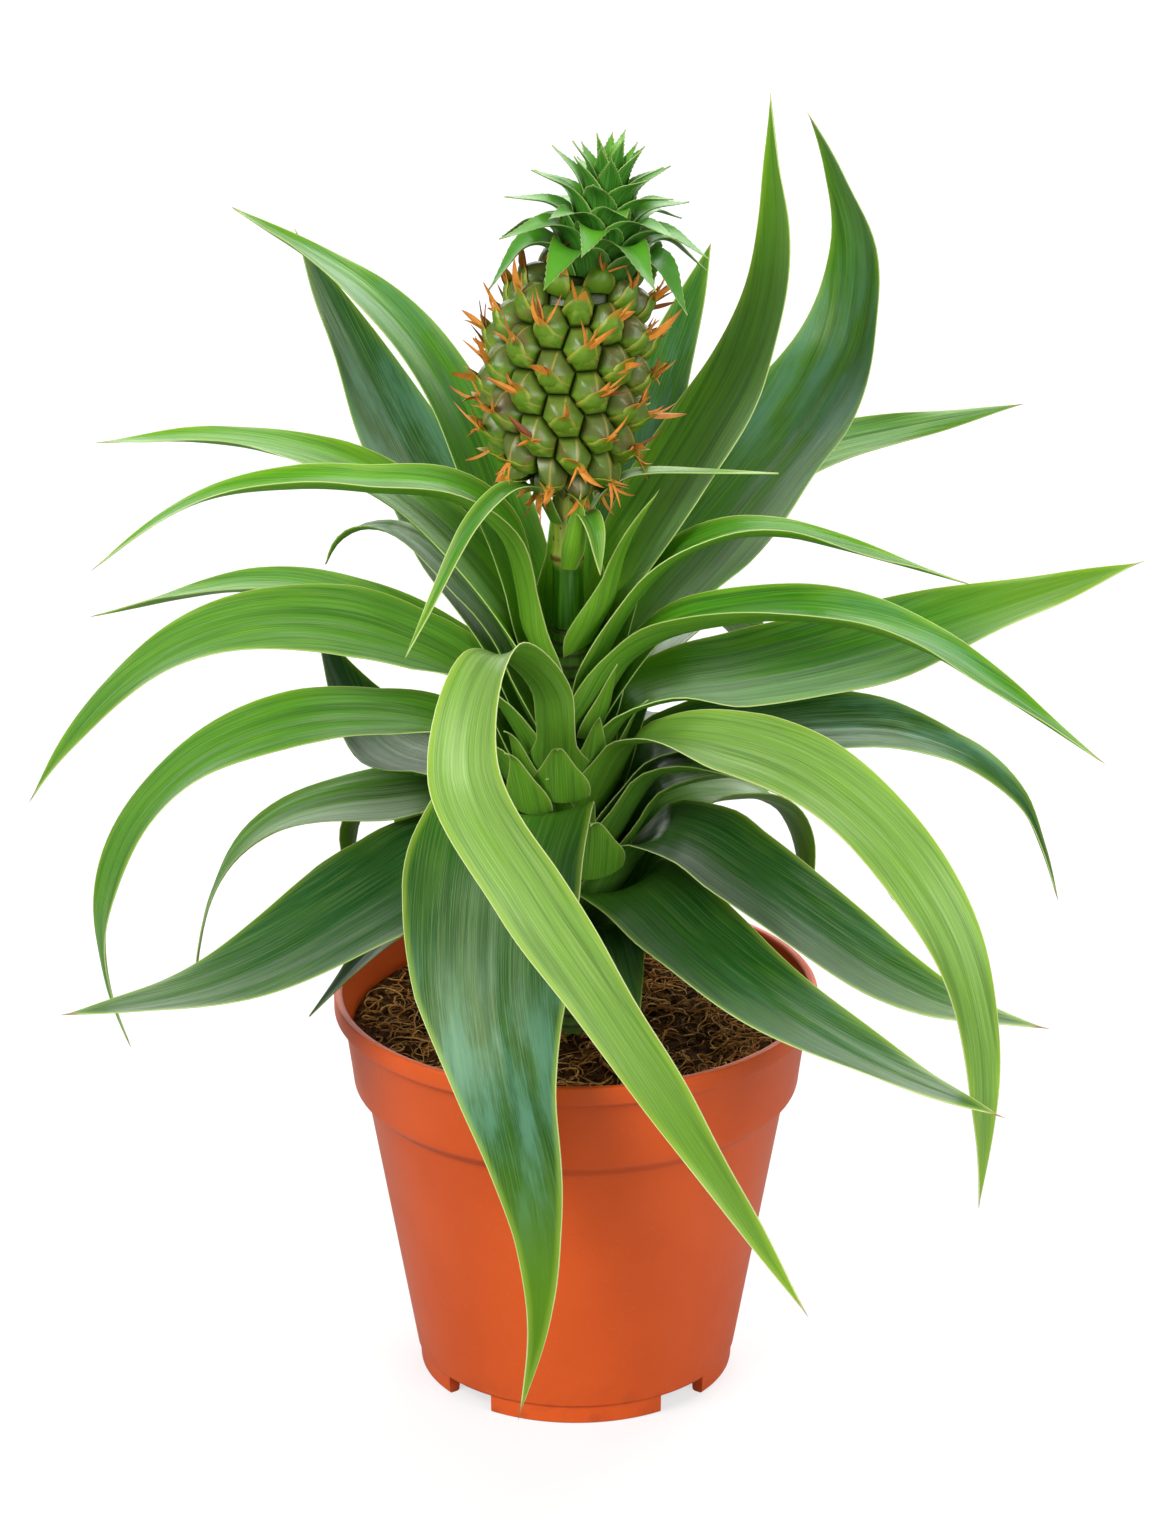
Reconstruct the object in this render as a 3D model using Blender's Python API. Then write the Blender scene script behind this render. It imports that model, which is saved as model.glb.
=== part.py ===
"""Potted pineapple plant: a plastic grower's pot, its growing mix, a stem clasped by strap leaves, and a stalk
that carries one young fruit with its crown. Metres, +Z up, origin on the pot's axis at floor level. +X is the
plant's right and -Y its front."""

import math
import random
from collections import namedtuple

import bmesh
import bpy
from mathutils import Matrix, Vector

MM = 0.001

# Driving dimensions
CONTACT_GAP = 0.3 * MM

POT_HEIGHT = 118 * MM
POT_LIP_RADIUS = 70 * MM
POT_LIP_DROP = 6.5 * MM
POT_BAND_DROP = 22.5 * MM
POT_BAND_UNDERSIDE = 8.5 * MM
POT_TAPER = 0.173
POT_BASE_RADIUS = 46.8 * MM
POT_WALL = 1.6 * MM
POT_FLOOR = 2 * MM
POT_FOOT_HEIGHT = 6 * MM
POT_FOOT_THICKNESS = 4 * MM
POT_NOTCH_OFFSET = 43
POT_NOTCH_ANGLE = 21
POT_DRAIN_RADIUS = 1.6 * MM
FLOOR_DRAIN_RADIUS = 3.5 * MM
FLOOR_DRAIN_REACH = 27 * MM
DRAIN_ROD = 12 * MM
POT_BAND_STEP = 4.3 * MM
POT_LIP_WIDTH = 2.6 * MM
POT_SIDES = 32

MIX_TOP = 107 * MM
MIX_ROUGHNESS = 1.6 * MM
WALL_GAP = 0.5 * MM

STEM_AXIS_X = -2 * MM
STEM_FOOT = 72 * MM
STEM_TOP = 229 * MM
STEM_FOOT_RADIUS = 11 * MM
STEM_TOP_RADIUS = 5 * MM
STEM_SIDES = 12

LEAF_FIRST_HEIGHT = 118 * MM
LEAF_LAST_HEIGHT = 225 * MM
SHEATH_SLOPE = 62
SHEATH_THICKNESS = 0.7 * MM
LEAF_THICKNESS = 1.2 * MM
EDGE = 0.65 * MM

STALK_FOOT_RADIUS = 4.6 * MM
STALK_TOP_RADIUS = 3.6 * MM
STALK_NODE_HEIGHT = 250 * MM

FRUIT_FOOT = Vector((-3, 0, 273)) * MM
FRUIT_LEAN = 8
FRUIT_BULGE = 4 * MM
FRUIT_HEIGHT = 62 * MM
FRUIT_RADIUS = 22.6 * MM
FRUIT_EYES = 88
FIRST_EYE = 0.03
LAST_EYE = 0.97
GOLDEN_ANGLE = math.pi * (3 - math.sqrt(5))
SPIRALS = (5, 8, 13)
EYE_HEIGHT = 2.6 * MM
EYE_SHOULDER = 1.9 * MM
EYE_FLAT = 0.62
EYE_GROOVE = 0.8 * MM
BRACT_LENGTH = 7 * MM
BRACT_WIDTH = 3 * MM
BRACT_THICKNESS = 1.2 * MM
BRACT_CURVE = 3 * MM
BRACT_ROOT = 3.4 * MM
BRACT_SCATTER = 0.7

CROWN_LEAVES = 36
CROWN_CORE_RADIUS = 8 * MM
CROWN_CORE_HEIGHT = 22.3 * MM
# How the crown's leaves change from the lowest to the highest.
CROWN_LEAF_LENGTHS = (26 * MM, 17 * MM)
CROWN_LEAF_WIDTHS = (14 * MM, 7 * MM)
CROWN_LEAF_RISE = 82
CROWN_LEAF_FALLS = (-62, 72)
CROWN_KEEL = 0.9 * MM

# One row for each leaf of the rosette, lowest on the stem first.
# azimuth: compass direction it grows in, anticlockwise from +X.
# sheath: length that clasps the stem.
# rise and fall: slope past the sheath and at the tip.
# bend_at and bend_span: where along the blade the slope changes, and over how much of it.
# turn: sideways swing that follows just after that change.
# roll: twist by the tip, which lifts the left margin.
# gutter: half the angle through which the blade curls across.
Leaf = namedtuple("Leaf", "azimuth sheath length width rise fall bend_at bend_span turn roll gutter")
LEAVES = (
    # short old leaves over the growing mix
    Leaf(-72, 28, 76, 24, 0, -42, 0.30, 0.5, 0, 0, 30),
    Leaf(200, 23, 94, 24, 0, -44, 0.40, 0.6, 0, 0, 30),
    Leaf(95, 34, 140, 30, 0, -50, 0.40, 0.7, 0, 0, 35),
    # the skirt of dark leaves that hang over the rim
    Leaf(33, 36, 130, 32, -4, -84, 0.54, 0.6, 0, 0, 40),
    Leaf(153, 33, 112, 28, 2, -98, 0.58, 0.6, 0, 0, 40),
    Leaf(-47, 22, 176, 40, -19, 1, 0.60, 0.6, 0, 0, 25),
    Leaf(210, 32, 175, 40, -23, 4, 0.65, 0.6, -6, 10, 28),
    Leaf(118, 34, 160, 30, -5, -65, 0.45, 0.8, 0, 0, 40),
    Leaf(-26, 24, 158, 38, -23, -3, 0.75, 0.4, 0, 10, 30),
    Leaf(70, 34, 165, 34, 0, -60, 0.45, 0.8, 0, 0, 40),
    Leaf(170, 23, 150, 30, -9, -84, 0.62, 0.7, 0, 10, 50),
    Leaf(-104, 30, 216, 48, -44, -86, 0.46, 0.7, 44, 20, 24),
    Leaf(6, 27, 122, 30, 0, -60, 0.50, 0.6, 0, 0, 40),
    Leaf(155, 23, 102, 34, 8, 60, 0.60, 0.6, 0, 0, 35),
    # the middle tier of arching leaves
    Leaf(-17, 26, 88, 27, 2, -20, 0.50, 0.6, 0, 0, 45),
    Leaf(105, 28, 160, 34, 12, -50, 0.45, 0.8, 0, 0, 45),
    Leaf(2, 23, 182, 36, 9, -75, 0.63, 0.6, 0, 30, 35),
    Leaf(196, 24, 220, 34, 31, -112, 0.54, 1.1, 0, 20, 70),
    Leaf(62, 28, 166, 36, 16, -45, 0.45, 0.8, 0, 0, 45),
    Leaf(-42, 22, 236, 38, 15, -92, 0.49, 0.93, 0, 0, 55),
    Leaf(150, 22, 180, 28, 30, -27, 0.42, 0.8, 0, 0, 50),
    Leaf(-115, 28, 298, 34, 78, -56, 0.17, 0.24, 99, 75, 40),
    Leaf(92, 26, 146, 34, 22, -40, 0.45, 0.8, 0, 0, 45),
    Leaf(184, 20, 186, 36, 40, -60, 0.50, 1.1, 0, 10, 65),
    Leaf(1, 12, 170, 36, 9, 22, 0.40, 0.5, 0, 22, 45),
    Leaf(128, 24, 176, 36, 34, 46, 0.40, 0.5, 0, 0, 35),
    Leaf(60, 14, 204, 26, 31, 4, 0.36, 0.6, -38, 0, 45),
    Leaf(152, 20, 103, 20, 42, -88, 0.78, 0.8, 0, 0, 50),
    Leaf(45, 16, 217, 35, 33, 124, 0.69, 0.5, 0, 0, 35),
    # the upright leaves of the heart
    Leaf(-22, 14, 178, 30, 43, -33, 0.38, 0.8, 0, 0, 60),
    Leaf(66, 14, 146, 30, 52, 42, 0.50, 0.6, 0, 0, 35),
    Leaf(158, 14, 169, 28, 51, -6, 0.42, 0.7, 0, 0, 40),
    Leaf(131, 19, 194, 25, 57, 10, 0.50, 0.6, 0, 0, 55),
    Leaf(-5, 12, 128, 24, 56, -17, 0.35, 0.6, 16, 0, 55),
    Leaf(184, 6, 174, 26, 88, -17, 0.31, 0.5, 0, 0, 60),
    Leaf(31, 12, 172, 30, 52, 95, 0.60, 0.5, 0, 0, 35),
    Leaf(85, 10, 80, 18, 72, 60, 0.50, 0.6, 0, 0, 50),
    Leaf(-25, 10, 66, 14, 80, 60, 0.50, 0.6, 0, 0, 50),
)

# The leaves on the fruit's stalk, each with the height of its foot in millimetres.
STALK_LEAVES = (
    (249, Leaf(-105, 6, 24, 12, 84, 78, 0.50, 0.6, 0, 0, 60)),
    (259, Leaf(-2, 4, 62, 7, 34, 0, 0.25, 0.5, 0, 0, 35)),
    (257.5, Leaf(-62, 5, 30, 8, -10, -76, 0.40, 0.5, 0, 0, 45)),
    (261, Leaf(222, 5, 80, 8, 10, -54, 0.30, 0.6, 0, 0, 45)),
)

# Shared by every leaf. Over the neck it turns out from the sheath: so many millimetres, or that share of a
# short blade. A turn lags the bend by a share of the blade. A sheath clasps at most an angle on each side. The
# rows stand at shares of the blade past the neck, and the columns run from the right margin to the left.
NECK = 18
NECK_SHARE = 0.3
TURN_LAG = 0.17
MOST_CLASP = math.radians(62)
BLADE_ROWS = (0.14, 0.29, 0.44, 0.59, 0.74, 0.88)
ACROSS = (-1, -0.5, 0, 0.5, 1)


def smooth(t):
    """0 to 1 with a level start and end."""
    t = min(1.0, max(0.0, t))
    return t * t * (3 - 2 * t)


def mix(a, b, t):
    return a + (b - a) * t


def material(name, colour, roughness):
    made = bpy.data.materials.new(name)
    made.use_nodes = True
    shader = made.node_tree.nodes["Principled BSDF"]
    shader.inputs["Base Color"].default_value = (*colour, 1)
    shader.inputs["Roughness"].default_value = roughness
    shader.inputs["Metallic"].default_value = 0
    return made


def add_object(name, mesh_in_progress, finish=None):
    """Turns a bmesh into an object of the scene, shaded smooth."""
    mesh = bpy.data.meshes.new(name)
    mesh_in_progress.to_mesh(mesh)
    mesh_in_progress.free()
    mesh.shade_smooth()
    mesh.set_sharp_from_angle(angle=math.radians(40))
    if finish:
        mesh.materials.append(finish)
    made = bpy.data.objects.new(name, mesh)
    bpy.context.scene.collection.objects.link(made)
    return made


def boolean(body, pieces, operation):
    """Joins the pieces to the body, or cuts them from it, with one Boolean, then removes them."""
    group = bpy.data.collections.new("pieces")
    bpy.context.scene.collection.children.link(group)
    for piece in pieces:
        bpy.context.scene.collection.objects.unlink(piece)
        group.objects.link(piece)
    modifier = body.modifiers.new("Boolean", "BOOLEAN")
    modifier.operation = operation
    modifier.operand_type = "COLLECTION"
    modifier.collection = group
    graph = bpy.context.evaluated_depsgraph_get()
    result = bpy.data.meshes.new_from_object(body.evaluated_get(graph))
    body.modifiers.clear()
    body.data = result
    for piece in list(group.objects):
        bpy.data.objects.remove(piece)
    bpy.data.collections.remove(group)


def turned(profile, sides):
    """A closed body turned about the Z axis from (radius, height) points that start and end on the axis."""
    bm = bmesh.new()
    rings = []
    for radius, height in profile:
        if radius == 0:
            rings.append([bm.verts.new((0, 0, height))] * sides)
            continue
        angles = (2 * math.pi * i / sides for i in range(sides))
        rings.append([bm.verts.new((radius * math.cos(a), radius * math.sin(a), height)) for a in angles])
    for low, high in zip(rings, rings[1:]):
        for i in range(sides):
            corners = [low[i], low[(i + 1) % sides], high[(i + 1) % sides], high[i]]
            bm.faces.new(list(dict.fromkeys(corners)))
    bmesh.ops.recalc_face_normals(bm, faces=bm.faces)
    return bm


def cylinder(radius, length, sides):
    """A closed cylinder along Z about the origin."""
    bm = bmesh.new()
    bmesh.ops.create_cone(bm, cap_ends=True, segments=sides, radius1=radius, radius2=radius, depth=length)
    return bm


# Pot


def pot_wall_radius(height):
    """Outside radius of the tapered wall at a height."""
    return POT_BASE_RADIUS + POT_TAPER * (height - POT_FOOT_HEIGHT)


def pot_inside():
    """The inner face as (radius, height) points, from the floor's edge up the wall and band to the lip."""
    floor = POT_FOOT_HEIGHT + POT_FLOOR
    band_foot = POT_HEIGHT - POT_BAND_DROP
    wall_top = band_foot - POT_BAND_UNDERSIDE
    return [
        (pot_wall_radius(floor) - POT_WALL, floor),
        (pot_wall_radius(wall_top) - POT_WALL, wall_top + POT_WALL / 2),
        (pot_wall_radius(wall_top) + POT_BAND_STEP - POT_WALL, band_foot + POT_WALL / 2),
        (POT_LIP_RADIUS - POT_LIP_WIDTH, POT_HEIGHT - MM),
    ]


def pot_profile():
    """From the middle of the underside, out over the foot, wall, band and lip, and down the inside."""
    foot_radius = POT_BASE_RADIUS - 0.8 * MM
    foot_inner = foot_radius - POT_FOOT_THICKNESS
    band_foot = POT_HEIGHT - POT_BAND_DROP
    wall_top = band_foot - POT_BAND_UNDERSIDE
    wall_top_radius = pot_wall_radius(wall_top)
    band_radius = wall_top_radius + POT_BAND_STEP
    lip_foot = POT_HEIGHT - POT_LIP_DROP
    outside = [
        (0, POT_FOOT_HEIGHT),
        (foot_inner, POT_FOOT_HEIGHT),
        (foot_inner + 0.5 * MM, 0),
        (foot_radius - 0.6 * MM, 0),
        (foot_radius, POT_FOOT_HEIGHT - 0.4 * MM),
        (POT_BASE_RADIUS, POT_FOOT_HEIGHT),
        (wall_top_radius, wall_top),
        (mix(wall_top_radius, band_radius, 0.75), mix(wall_top, band_foot, 0.5)),
        (band_radius, band_foot),
        (band_radius + 2.2 * MM, lip_foot),
        (POT_LIP_RADIUS - 0.3 * MM, lip_foot + 1.2 * MM),
        (POT_LIP_RADIUS, POT_HEIGHT - 1.8 * MM),
        (POT_LIP_RADIUS - 1.2 * MM, POT_HEIGHT),
    ]
    return outside + pot_inside()[::-1] + [(0, POT_FOOT_HEIGHT + POT_FLOOR)]


def drain_cutters():
    """Two small holes through the wall's foot, and five through the floor, as short rods."""
    cutters = []
    side_height = POT_FOOT_HEIGHT + POT_FLOOR + POT_DRAIN_RADIUS + 0.4 * MM
    for side in (-1, 1):
        rod = cylinder(POT_DRAIN_RADIUS, DRAIN_ROD, 8)
        bmesh.ops.rotate(rod, verts=rod.verts, matrix=Matrix.Rotation(math.radians(90), 3, "Y"))
        bmesh.ops.translate(rod, verts=rod.verts, vec=(side * POT_BASE_RADIUS, 0, side_height))
        cutters.append(add_object("drain", rod))
    for i in range(5):
        rod = cylinder(FLOOR_DRAIN_RADIUS, DRAIN_ROD, 12)
        place = Vector((FLOOR_DRAIN_REACH if i else 0, 0, POT_FOOT_HEIGHT))
        place.rotate(Matrix.Rotation(math.radians(45 + 90 * i), 3, "Z"))
        bmesh.ops.translate(rod, verts=rod.verts, vec=place)
        cutters.append(add_object("drain", rod))
    return cutters


def notch_cutters():
    """Wedges that part the foot ring into four feet. Each stops just under the floor."""
    cutters = []
    inner, outer = POT_BASE_RADIUS * 0.65, POT_BASE_RADIUS * 1.3
    low, high = -2 * MM, POT_FOOT_HEIGHT - 0.38 * MM
    half = math.radians(POT_NOTCH_ANGLE / 2)
    for face, side in ((-90, -1), (-90, 1), (90, -1), (90, 1)):
        azimuth = math.radians(face + side * POT_NOTCH_OFFSET)
        wedge = bmesh.new()
        rings = []
        for height in (low, high):
            ring = []
            for radius, angle in ((inner, -half), (outer, -half), (outer, half), (inner, half)):
                turn = azimuth + angle
                ring.append(wedge.verts.new((radius * math.cos(turn), radius * math.sin(turn), height)))
            wedge.faces.new(ring)
            rings.append(ring)
        for i in range(4):
            after = (i + 1) % 4
            wedge.faces.new((rings[0][i], rings[0][after], rings[1][after], rings[1][i]))
        bmesh.ops.recalc_face_normals(wedge, faces=wedge.faces)
        cutters.append(add_object("notch", wedge))
    return cutters


def make_pot():
    finish = material("terracotta_plastic", (0.60, 0.105, 0.032), 0.42)
    pot = add_object("pot", turned(pot_profile(), POT_SIDES), finish)
    boolean(pot, drain_cutters() + notch_cutters(), "DIFFERENCE")


# Growing mix


def make_growing_mix():
    """A plug of peat and coir with a lumpy top, and a plain blind hole for the stem."""
    inside = pot_inside()
    (low_radius, low), (high_radius, high) = inside[-2:]
    edge = mix(low_radius, high_radius, (MIX_TOP - low) / (high - low)) - WALL_GAP
    floor = POT_FOOT_HEIGHT + POT_FLOOR + CONTACT_GAP
    below = [(radius - WALL_GAP, max(height, floor)) for radius, height in inside[:-1]]
    top = [(edge * share, MIX_TOP) for share in (1, 0.85, 0.64, 0.42, 0.28)]
    bm = turned([(0, floor)] + below + top + [(0, MIX_TOP)], POT_SIDES)
    rng = random.Random(4)
    for vert in bm.verts:
        if vert.co.z > MIX_TOP - MM and vert.co.xy.length < edge * 0.97:
            vert.co.z += rng.uniform(-1, 1) * MIX_ROUGHNESS
    growing_mix = add_object("growing_mix", bm, material("peat_and_coir", (0.035, 0.018, 0.009), 0.95))
    depth = MIX_TOP + 20 * MM - STEM_FOOT
    hole = cylinder(STEM_FOOT_RADIUS + CONTACT_GAP, depth, 2 * STEM_SIDES)
    bmesh.ops.translate(hole, verts=hole.verts, vec=(STEM_AXIS_X, 0, STEM_FOOT - CONTACT_GAP + depth / 2))
    boolean(growing_mix, [add_object("stem_hole", hole)], "DIFFERENCE")


# Stem


def stem_radius(height):
    """The stem tapers from the mix to the foot of the fruit's stalk."""
    return mix(STEM_FOOT_RADIUS, STEM_TOP_RADIUS, (height - MIX_TOP) / (STEM_TOP - MIX_TOP))


def make_stem():
    profile = [
        (0, STEM_FOOT),
        (STEM_FOOT_RADIUS * 0.7, STEM_FOOT),
        (STEM_FOOT_RADIUS, STEM_FOOT + 8 * MM),
        (STEM_FOOT_RADIUS, MIX_TOP),
        (STEM_TOP_RADIUS, STEM_TOP),
        (0, STEM_TOP),
    ]
    bm = turned(profile, STEM_SIDES)
    bmesh.ops.translate(bm, verts=bm.verts, vec=(STEM_AXIS_X, 0, 0))
    add_object("stem", bm, material("stem_tissue", (0.25, 0.30, 0.08), 0.6))


# Leaves


def neck_length(leaf):
    """Length in which the sheath opens out into the blade."""
    return min(NECK, NECK_SHARE * (leaf.length - leaf.sheath))


def leaf_slope(leaf, distance):
    """Slope of the midrib in degrees: up the sheath, over the neck, then from rise to fall."""
    blade = (distance - leaf.sheath) / (leaf.length - leaf.sheath)
    along = (blade - leaf.bend_at) / leaf.bend_span + 0.5
    over_neck = smooth((distance - leaf.sheath) / neck_length(leaf))
    return mix(SHEATH_SLOPE, mix(leaf.rise, leaf.fall, smooth(along)), over_neck)


def sheath_radius(height):
    """How far from the stem's axis a sheath's midrib starts, so that its straight facets clear the stem."""
    return stem_radius(height) + CONTACT_GAP + SHEATH_THICKNESS - 0.1 * MM


def leaf_midrib(leaf, foot, distances):
    """Points, headings and slopes of the midrib at the distances, in steps of a millimetre."""
    found = []
    point = foot.copy()
    for step in range(int(leaf.length) + 1):
        blade = max(0, step - leaf.sheath) / (leaf.length - leaf.sheath)
        swung = smooth((blade - leaf.bend_at - TURN_LAG) / leaf.bend_span + 0.5)
        heading = math.radians(leaf.azimuth + leaf.turn * swung)
        slope = math.radians(leaf_slope(leaf, step))
        if step in distances:
            found.append((point.copy(), heading, slope))
        level = math.cos(slope)
        point += Vector((math.cos(heading) * level, math.sin(heading) * level, math.sin(slope))) * MM
    return found


def leaf_width(leaf, share):
    """The blade is widest a third of the way along and runs out to a long point."""
    taper = 1 - max(0, (share - 0.3) / 0.7) ** 1.6
    return leaf.width * MM * mix(0.72, 1, smooth(share / 0.3)) * taper


def leaf_grid(leaf, foot, axis_x):
    """Rows of points across the leaf's middle surface from foot to tip, and each row's thickness."""
    neck = neck_length(leaf)
    neck_end = leaf.sheath + neck
    rest = leaf.length - neck_end
    distances = [0, leaf.sheath * 0.55, leaf.sheath * 0.95, leaf.sheath + neck * 0.5, neck_end]
    distances += [neck_end + rest * share for share in BLADE_ROWS]
    distances = [round(d) for d in distances]
    rows, thicknesses = [], []
    for distance, (point, heading, slope) in zip(distances, leaf_midrib(leaf, foot, distances)):
        freed = smooth((distance - leaf.sheath * 0.8) / (leaf.sheath * 0.2 + neck))
        blade = max(0, distance - leaf.sheath) / (leaf.length - leaf.sheath)
        across = Vector((-math.sin(heading), math.cos(heading), 0))
        along = Vector(
            (math.cos(heading) * math.cos(slope), math.sin(heading) * math.cos(slope), math.sin(slope))
        )
        up = along.cross(across)
        twist = Matrix.Rotation(math.radians(leaf.roll * smooth(blade * 1.6)), 3, along)
        across.rotate(twist)
        up.rotate(twist)
        inward = Vector((-math.cos(heading), -math.sin(heading), 0))
        opening = inward.lerp(up, freed).normalized()
        clasp = 1 / math.hypot(point.x - axis_x, point.y)
        width = min(leaf_width(leaf, distance / leaf.length), mix(2 * MOST_CLASP / clasp, 1, freed))
        curl = 2 * math.radians(leaf.gutter) * (1 - 0.4 * blade) / width
        bend = mix(clasp, curl, freed)
        row = []
        for share in ACROSS:
            angle = share * width * bend / 2
            row.append(point + across * (math.sin(angle) / bend) + opening * ((1 - math.cos(angle)) / bend))
        rows.append(row)
        thicknesses.append(mix(SHEATH_THICKNESS, LEAF_THICKNESS, freed))
    tip = leaf_midrib(leaf, foot, [int(leaf.length)])[0][0]
    return rows, thicknesses, tip


def leaf_faces(rows, thicknesses, tip):
    """Both faces of the leaf, its edges and its foot, all in triangles that match face to face."""
    bm = bmesh.new()
    tops, bottoms = [], []
    last_row, last_column = len(rows) - 1, len(ACROSS) - 1
    for i, row in enumerate(rows):
        top, bottom = [], []
        for j, point in enumerate(row):
            ahead = rows[i + 1][j] if i < last_row else tip
            behind = rows[i - 1][j] if i else point
            side = row[min(j + 1, last_column)] - row[max(j - 1, 0)]
            normal = (ahead - behind).cross(side).normalized()
            thickness = mix(min(thicknesses[i], LEAF_THICKNESS), min(thicknesses[i], EDGE), ACROSS[j] ** 2)
            top.append(bm.verts.new(point + normal * thickness / 2))
            bottom.append(bm.verts.new(point - normal * thickness / 2))
        tops.append(top)
        bottoms.append(bottom)
    point_of_leaf = bm.verts.new(tip)

    def quad(a, b, c, d):
        bm.faces.new((a, b, c))
        bm.faces.new((a, c, d))

    for i in range(last_row):
        for j in range(last_column):
            quad(tops[i][j], tops[i + 1][j], tops[i + 1][j + 1], tops[i][j + 1])
            bm.faces.new((bottoms[i][j], bottoms[i + 1][j + 1], bottoms[i + 1][j]))
            bm.faces.new((bottoms[i][j], bottoms[i][j + 1], bottoms[i + 1][j + 1]))
        quad(tops[i][-1], tops[i + 1][-1], bottoms[i + 1][-1], bottoms[i][-1])
        quad(bottoms[i][0], bottoms[i + 1][0], tops[i + 1][0], tops[i][0])
    for j in range(last_column):
        quad(tops[0][j], tops[0][j + 1], bottoms[0][j + 1], bottoms[0][j])
        bm.faces.new((tops[-1][j], point_of_leaf, tops[-1][j + 1]))
        bm.faces.new((bottoms[-1][j], bottoms[-1][j + 1], point_of_leaf))
    bm.faces.new((tops[-1][-1], point_of_leaf, bottoms[-1][-1]))
    bm.faces.new((bottoms[-1][0], point_of_leaf, tops[-1][0]))
    return bm


def make_leaves():
    fresh = material("leaf_green", (0.045, 0.16, 0.035), 0.35)
    for rank, leaf in enumerate(LEAVES):
        height = mix(LEAF_FIRST_HEIGHT, LEAF_LAST_HEIGHT, rank / (len(LEAVES) - 1))
        azimuth = math.radians(leaf.azimuth)
        reach = sheath_radius(height)
        foot = Vector((STEM_AXIS_X + reach * math.cos(azimuth), reach * math.sin(azimuth), height))
        rows, thicknesses, tip = leaf_grid(leaf, foot, STEM_AXIS_X)
        add_object(f"leaf_{rank + 1:02d}", leaf_faces(rows, thicknesses, tip), fresh)


# Stalk


def stalk_radius(height):
    share = (height - STEM_TOP) / (FRUIT_FOOT.z - STEM_TOP)
    node = math.exp(-(((height - STALK_NODE_HEIGHT) / (2 * MM)) ** 2))
    return mix(STALK_FOOT_RADIUS, STALK_TOP_RADIUS, share) + 0.7 * MM * node


def make_stalk():
    """The stalk with the swollen ring where its upper leaf grew."""
    start, end = STEM_TOP + CONTACT_GAP, FRUIT_FOOT.z - CONTACT_GAP
    heights = [mix(start, end, i / 8) for i in range(9)]
    profile = [(0, start)] + [(stalk_radius(z), z) for z in heights] + [(0, end)]
    bm = turned(profile, STEM_SIDES)
    for vert in bm.verts:
        vert.co.x += mix(STEM_AXIS_X, FRUIT_FOOT.x, (vert.co.z - start) / (end - start))
    add_object("stalk", bm, material("stalk_green", (0.16, 0.22, 0.05), 0.5))


def make_stalk_leaves():
    fresh = material("stalk_leaf_green", (0.07, 0.22, 0.04), 0.4)
    for number, (height, leaf) in enumerate(STALK_LEAVES, 1):
        azimuth = math.radians(leaf.azimuth)
        axis_x = mix(STEM_AXIS_X, FRUIT_FOOT.x, (height * MM - STEM_TOP) / (FRUIT_FOOT.z - STEM_TOP))
        reach = stalk_radius(height * MM) + CONTACT_GAP + 0.4 * MM
        foot = Vector((axis_x + reach * math.cos(azimuth), reach * math.sin(azimuth), height * MM))
        rows, thicknesses, tip = leaf_grid(leaf, foot, axis_x)
        add_object(f"stalk_leaf_{number}", leaf_faces(rows, thicknesses, tip), fresh)


# Fruit


def fruit_frame():
    """Carries the fruit's own axis, foot at the origin, to its leaning place on the stalk."""
    return Matrix.Translation(FRUIT_FOOT) @ Matrix.Rotation(math.radians(FRUIT_LEAN), 4, "Y")


def fruit_outline(share):
    """Radius and height at a share of the way round the outline, from the foot to the crown."""
    angle = math.pi * share
    radius = FRUIT_RADIUS * math.sin(angle) ** 0.62 * (1.05 - 0.13 * share)
    return radius, FRUIT_HEIGHT * (1 - math.cos(angle)) / 2


def eye_places():
    """Azimuth and outline share of each eye: the golden angle round, equal steps of skin up."""
    steps = 400
    points = [fruit_outline(i / steps) for i in range(steps + 1)]
    reach = [0.0]
    for (r0, z0), (r1, z1) in zip(points, points[1:]):
        reach.append(reach[-1] + math.hypot(r1 - r0, z1 - z0))
    places, row = [], 0
    for eye in range(FRUIT_EYES):
        wanted = reach[-1] * mix(FIRST_EYE, LAST_EYE, eye / (FRUIT_EYES - 1))
        while reach[row + 1] < wanted:
            row += 1
        places.append((eye * GOLDEN_ANGLE, (row + 0.5) / steps))
    return places


def skin_point(azimuth, share, lift):
    """A point raised by lift from the fruit's outline, square to its axis and a little along it."""
    radius, height = fruit_outline(share)
    ahead_radius, ahead_height = fruit_outline(min(1, share + 0.01))
    back_radius, back_height = fruit_outline(max(0, share - 0.01))
    outward = Vector((ahead_height - back_height, 0, back_radius - ahead_radius)).normalized()
    point = Vector((radius, 0, height)) + outward * lift
    point.rotate(Matrix.Rotation(azimuth, 3, "Z"))
    point.x -= FRUIT_BULGE * math.sin(math.pi * share)
    return point


def near_turn(angle, other):
    """The angle brought within half a turn of the other."""
    return angle - 2 * math.pi * round((angle - other) / (2 * math.pi))


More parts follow.
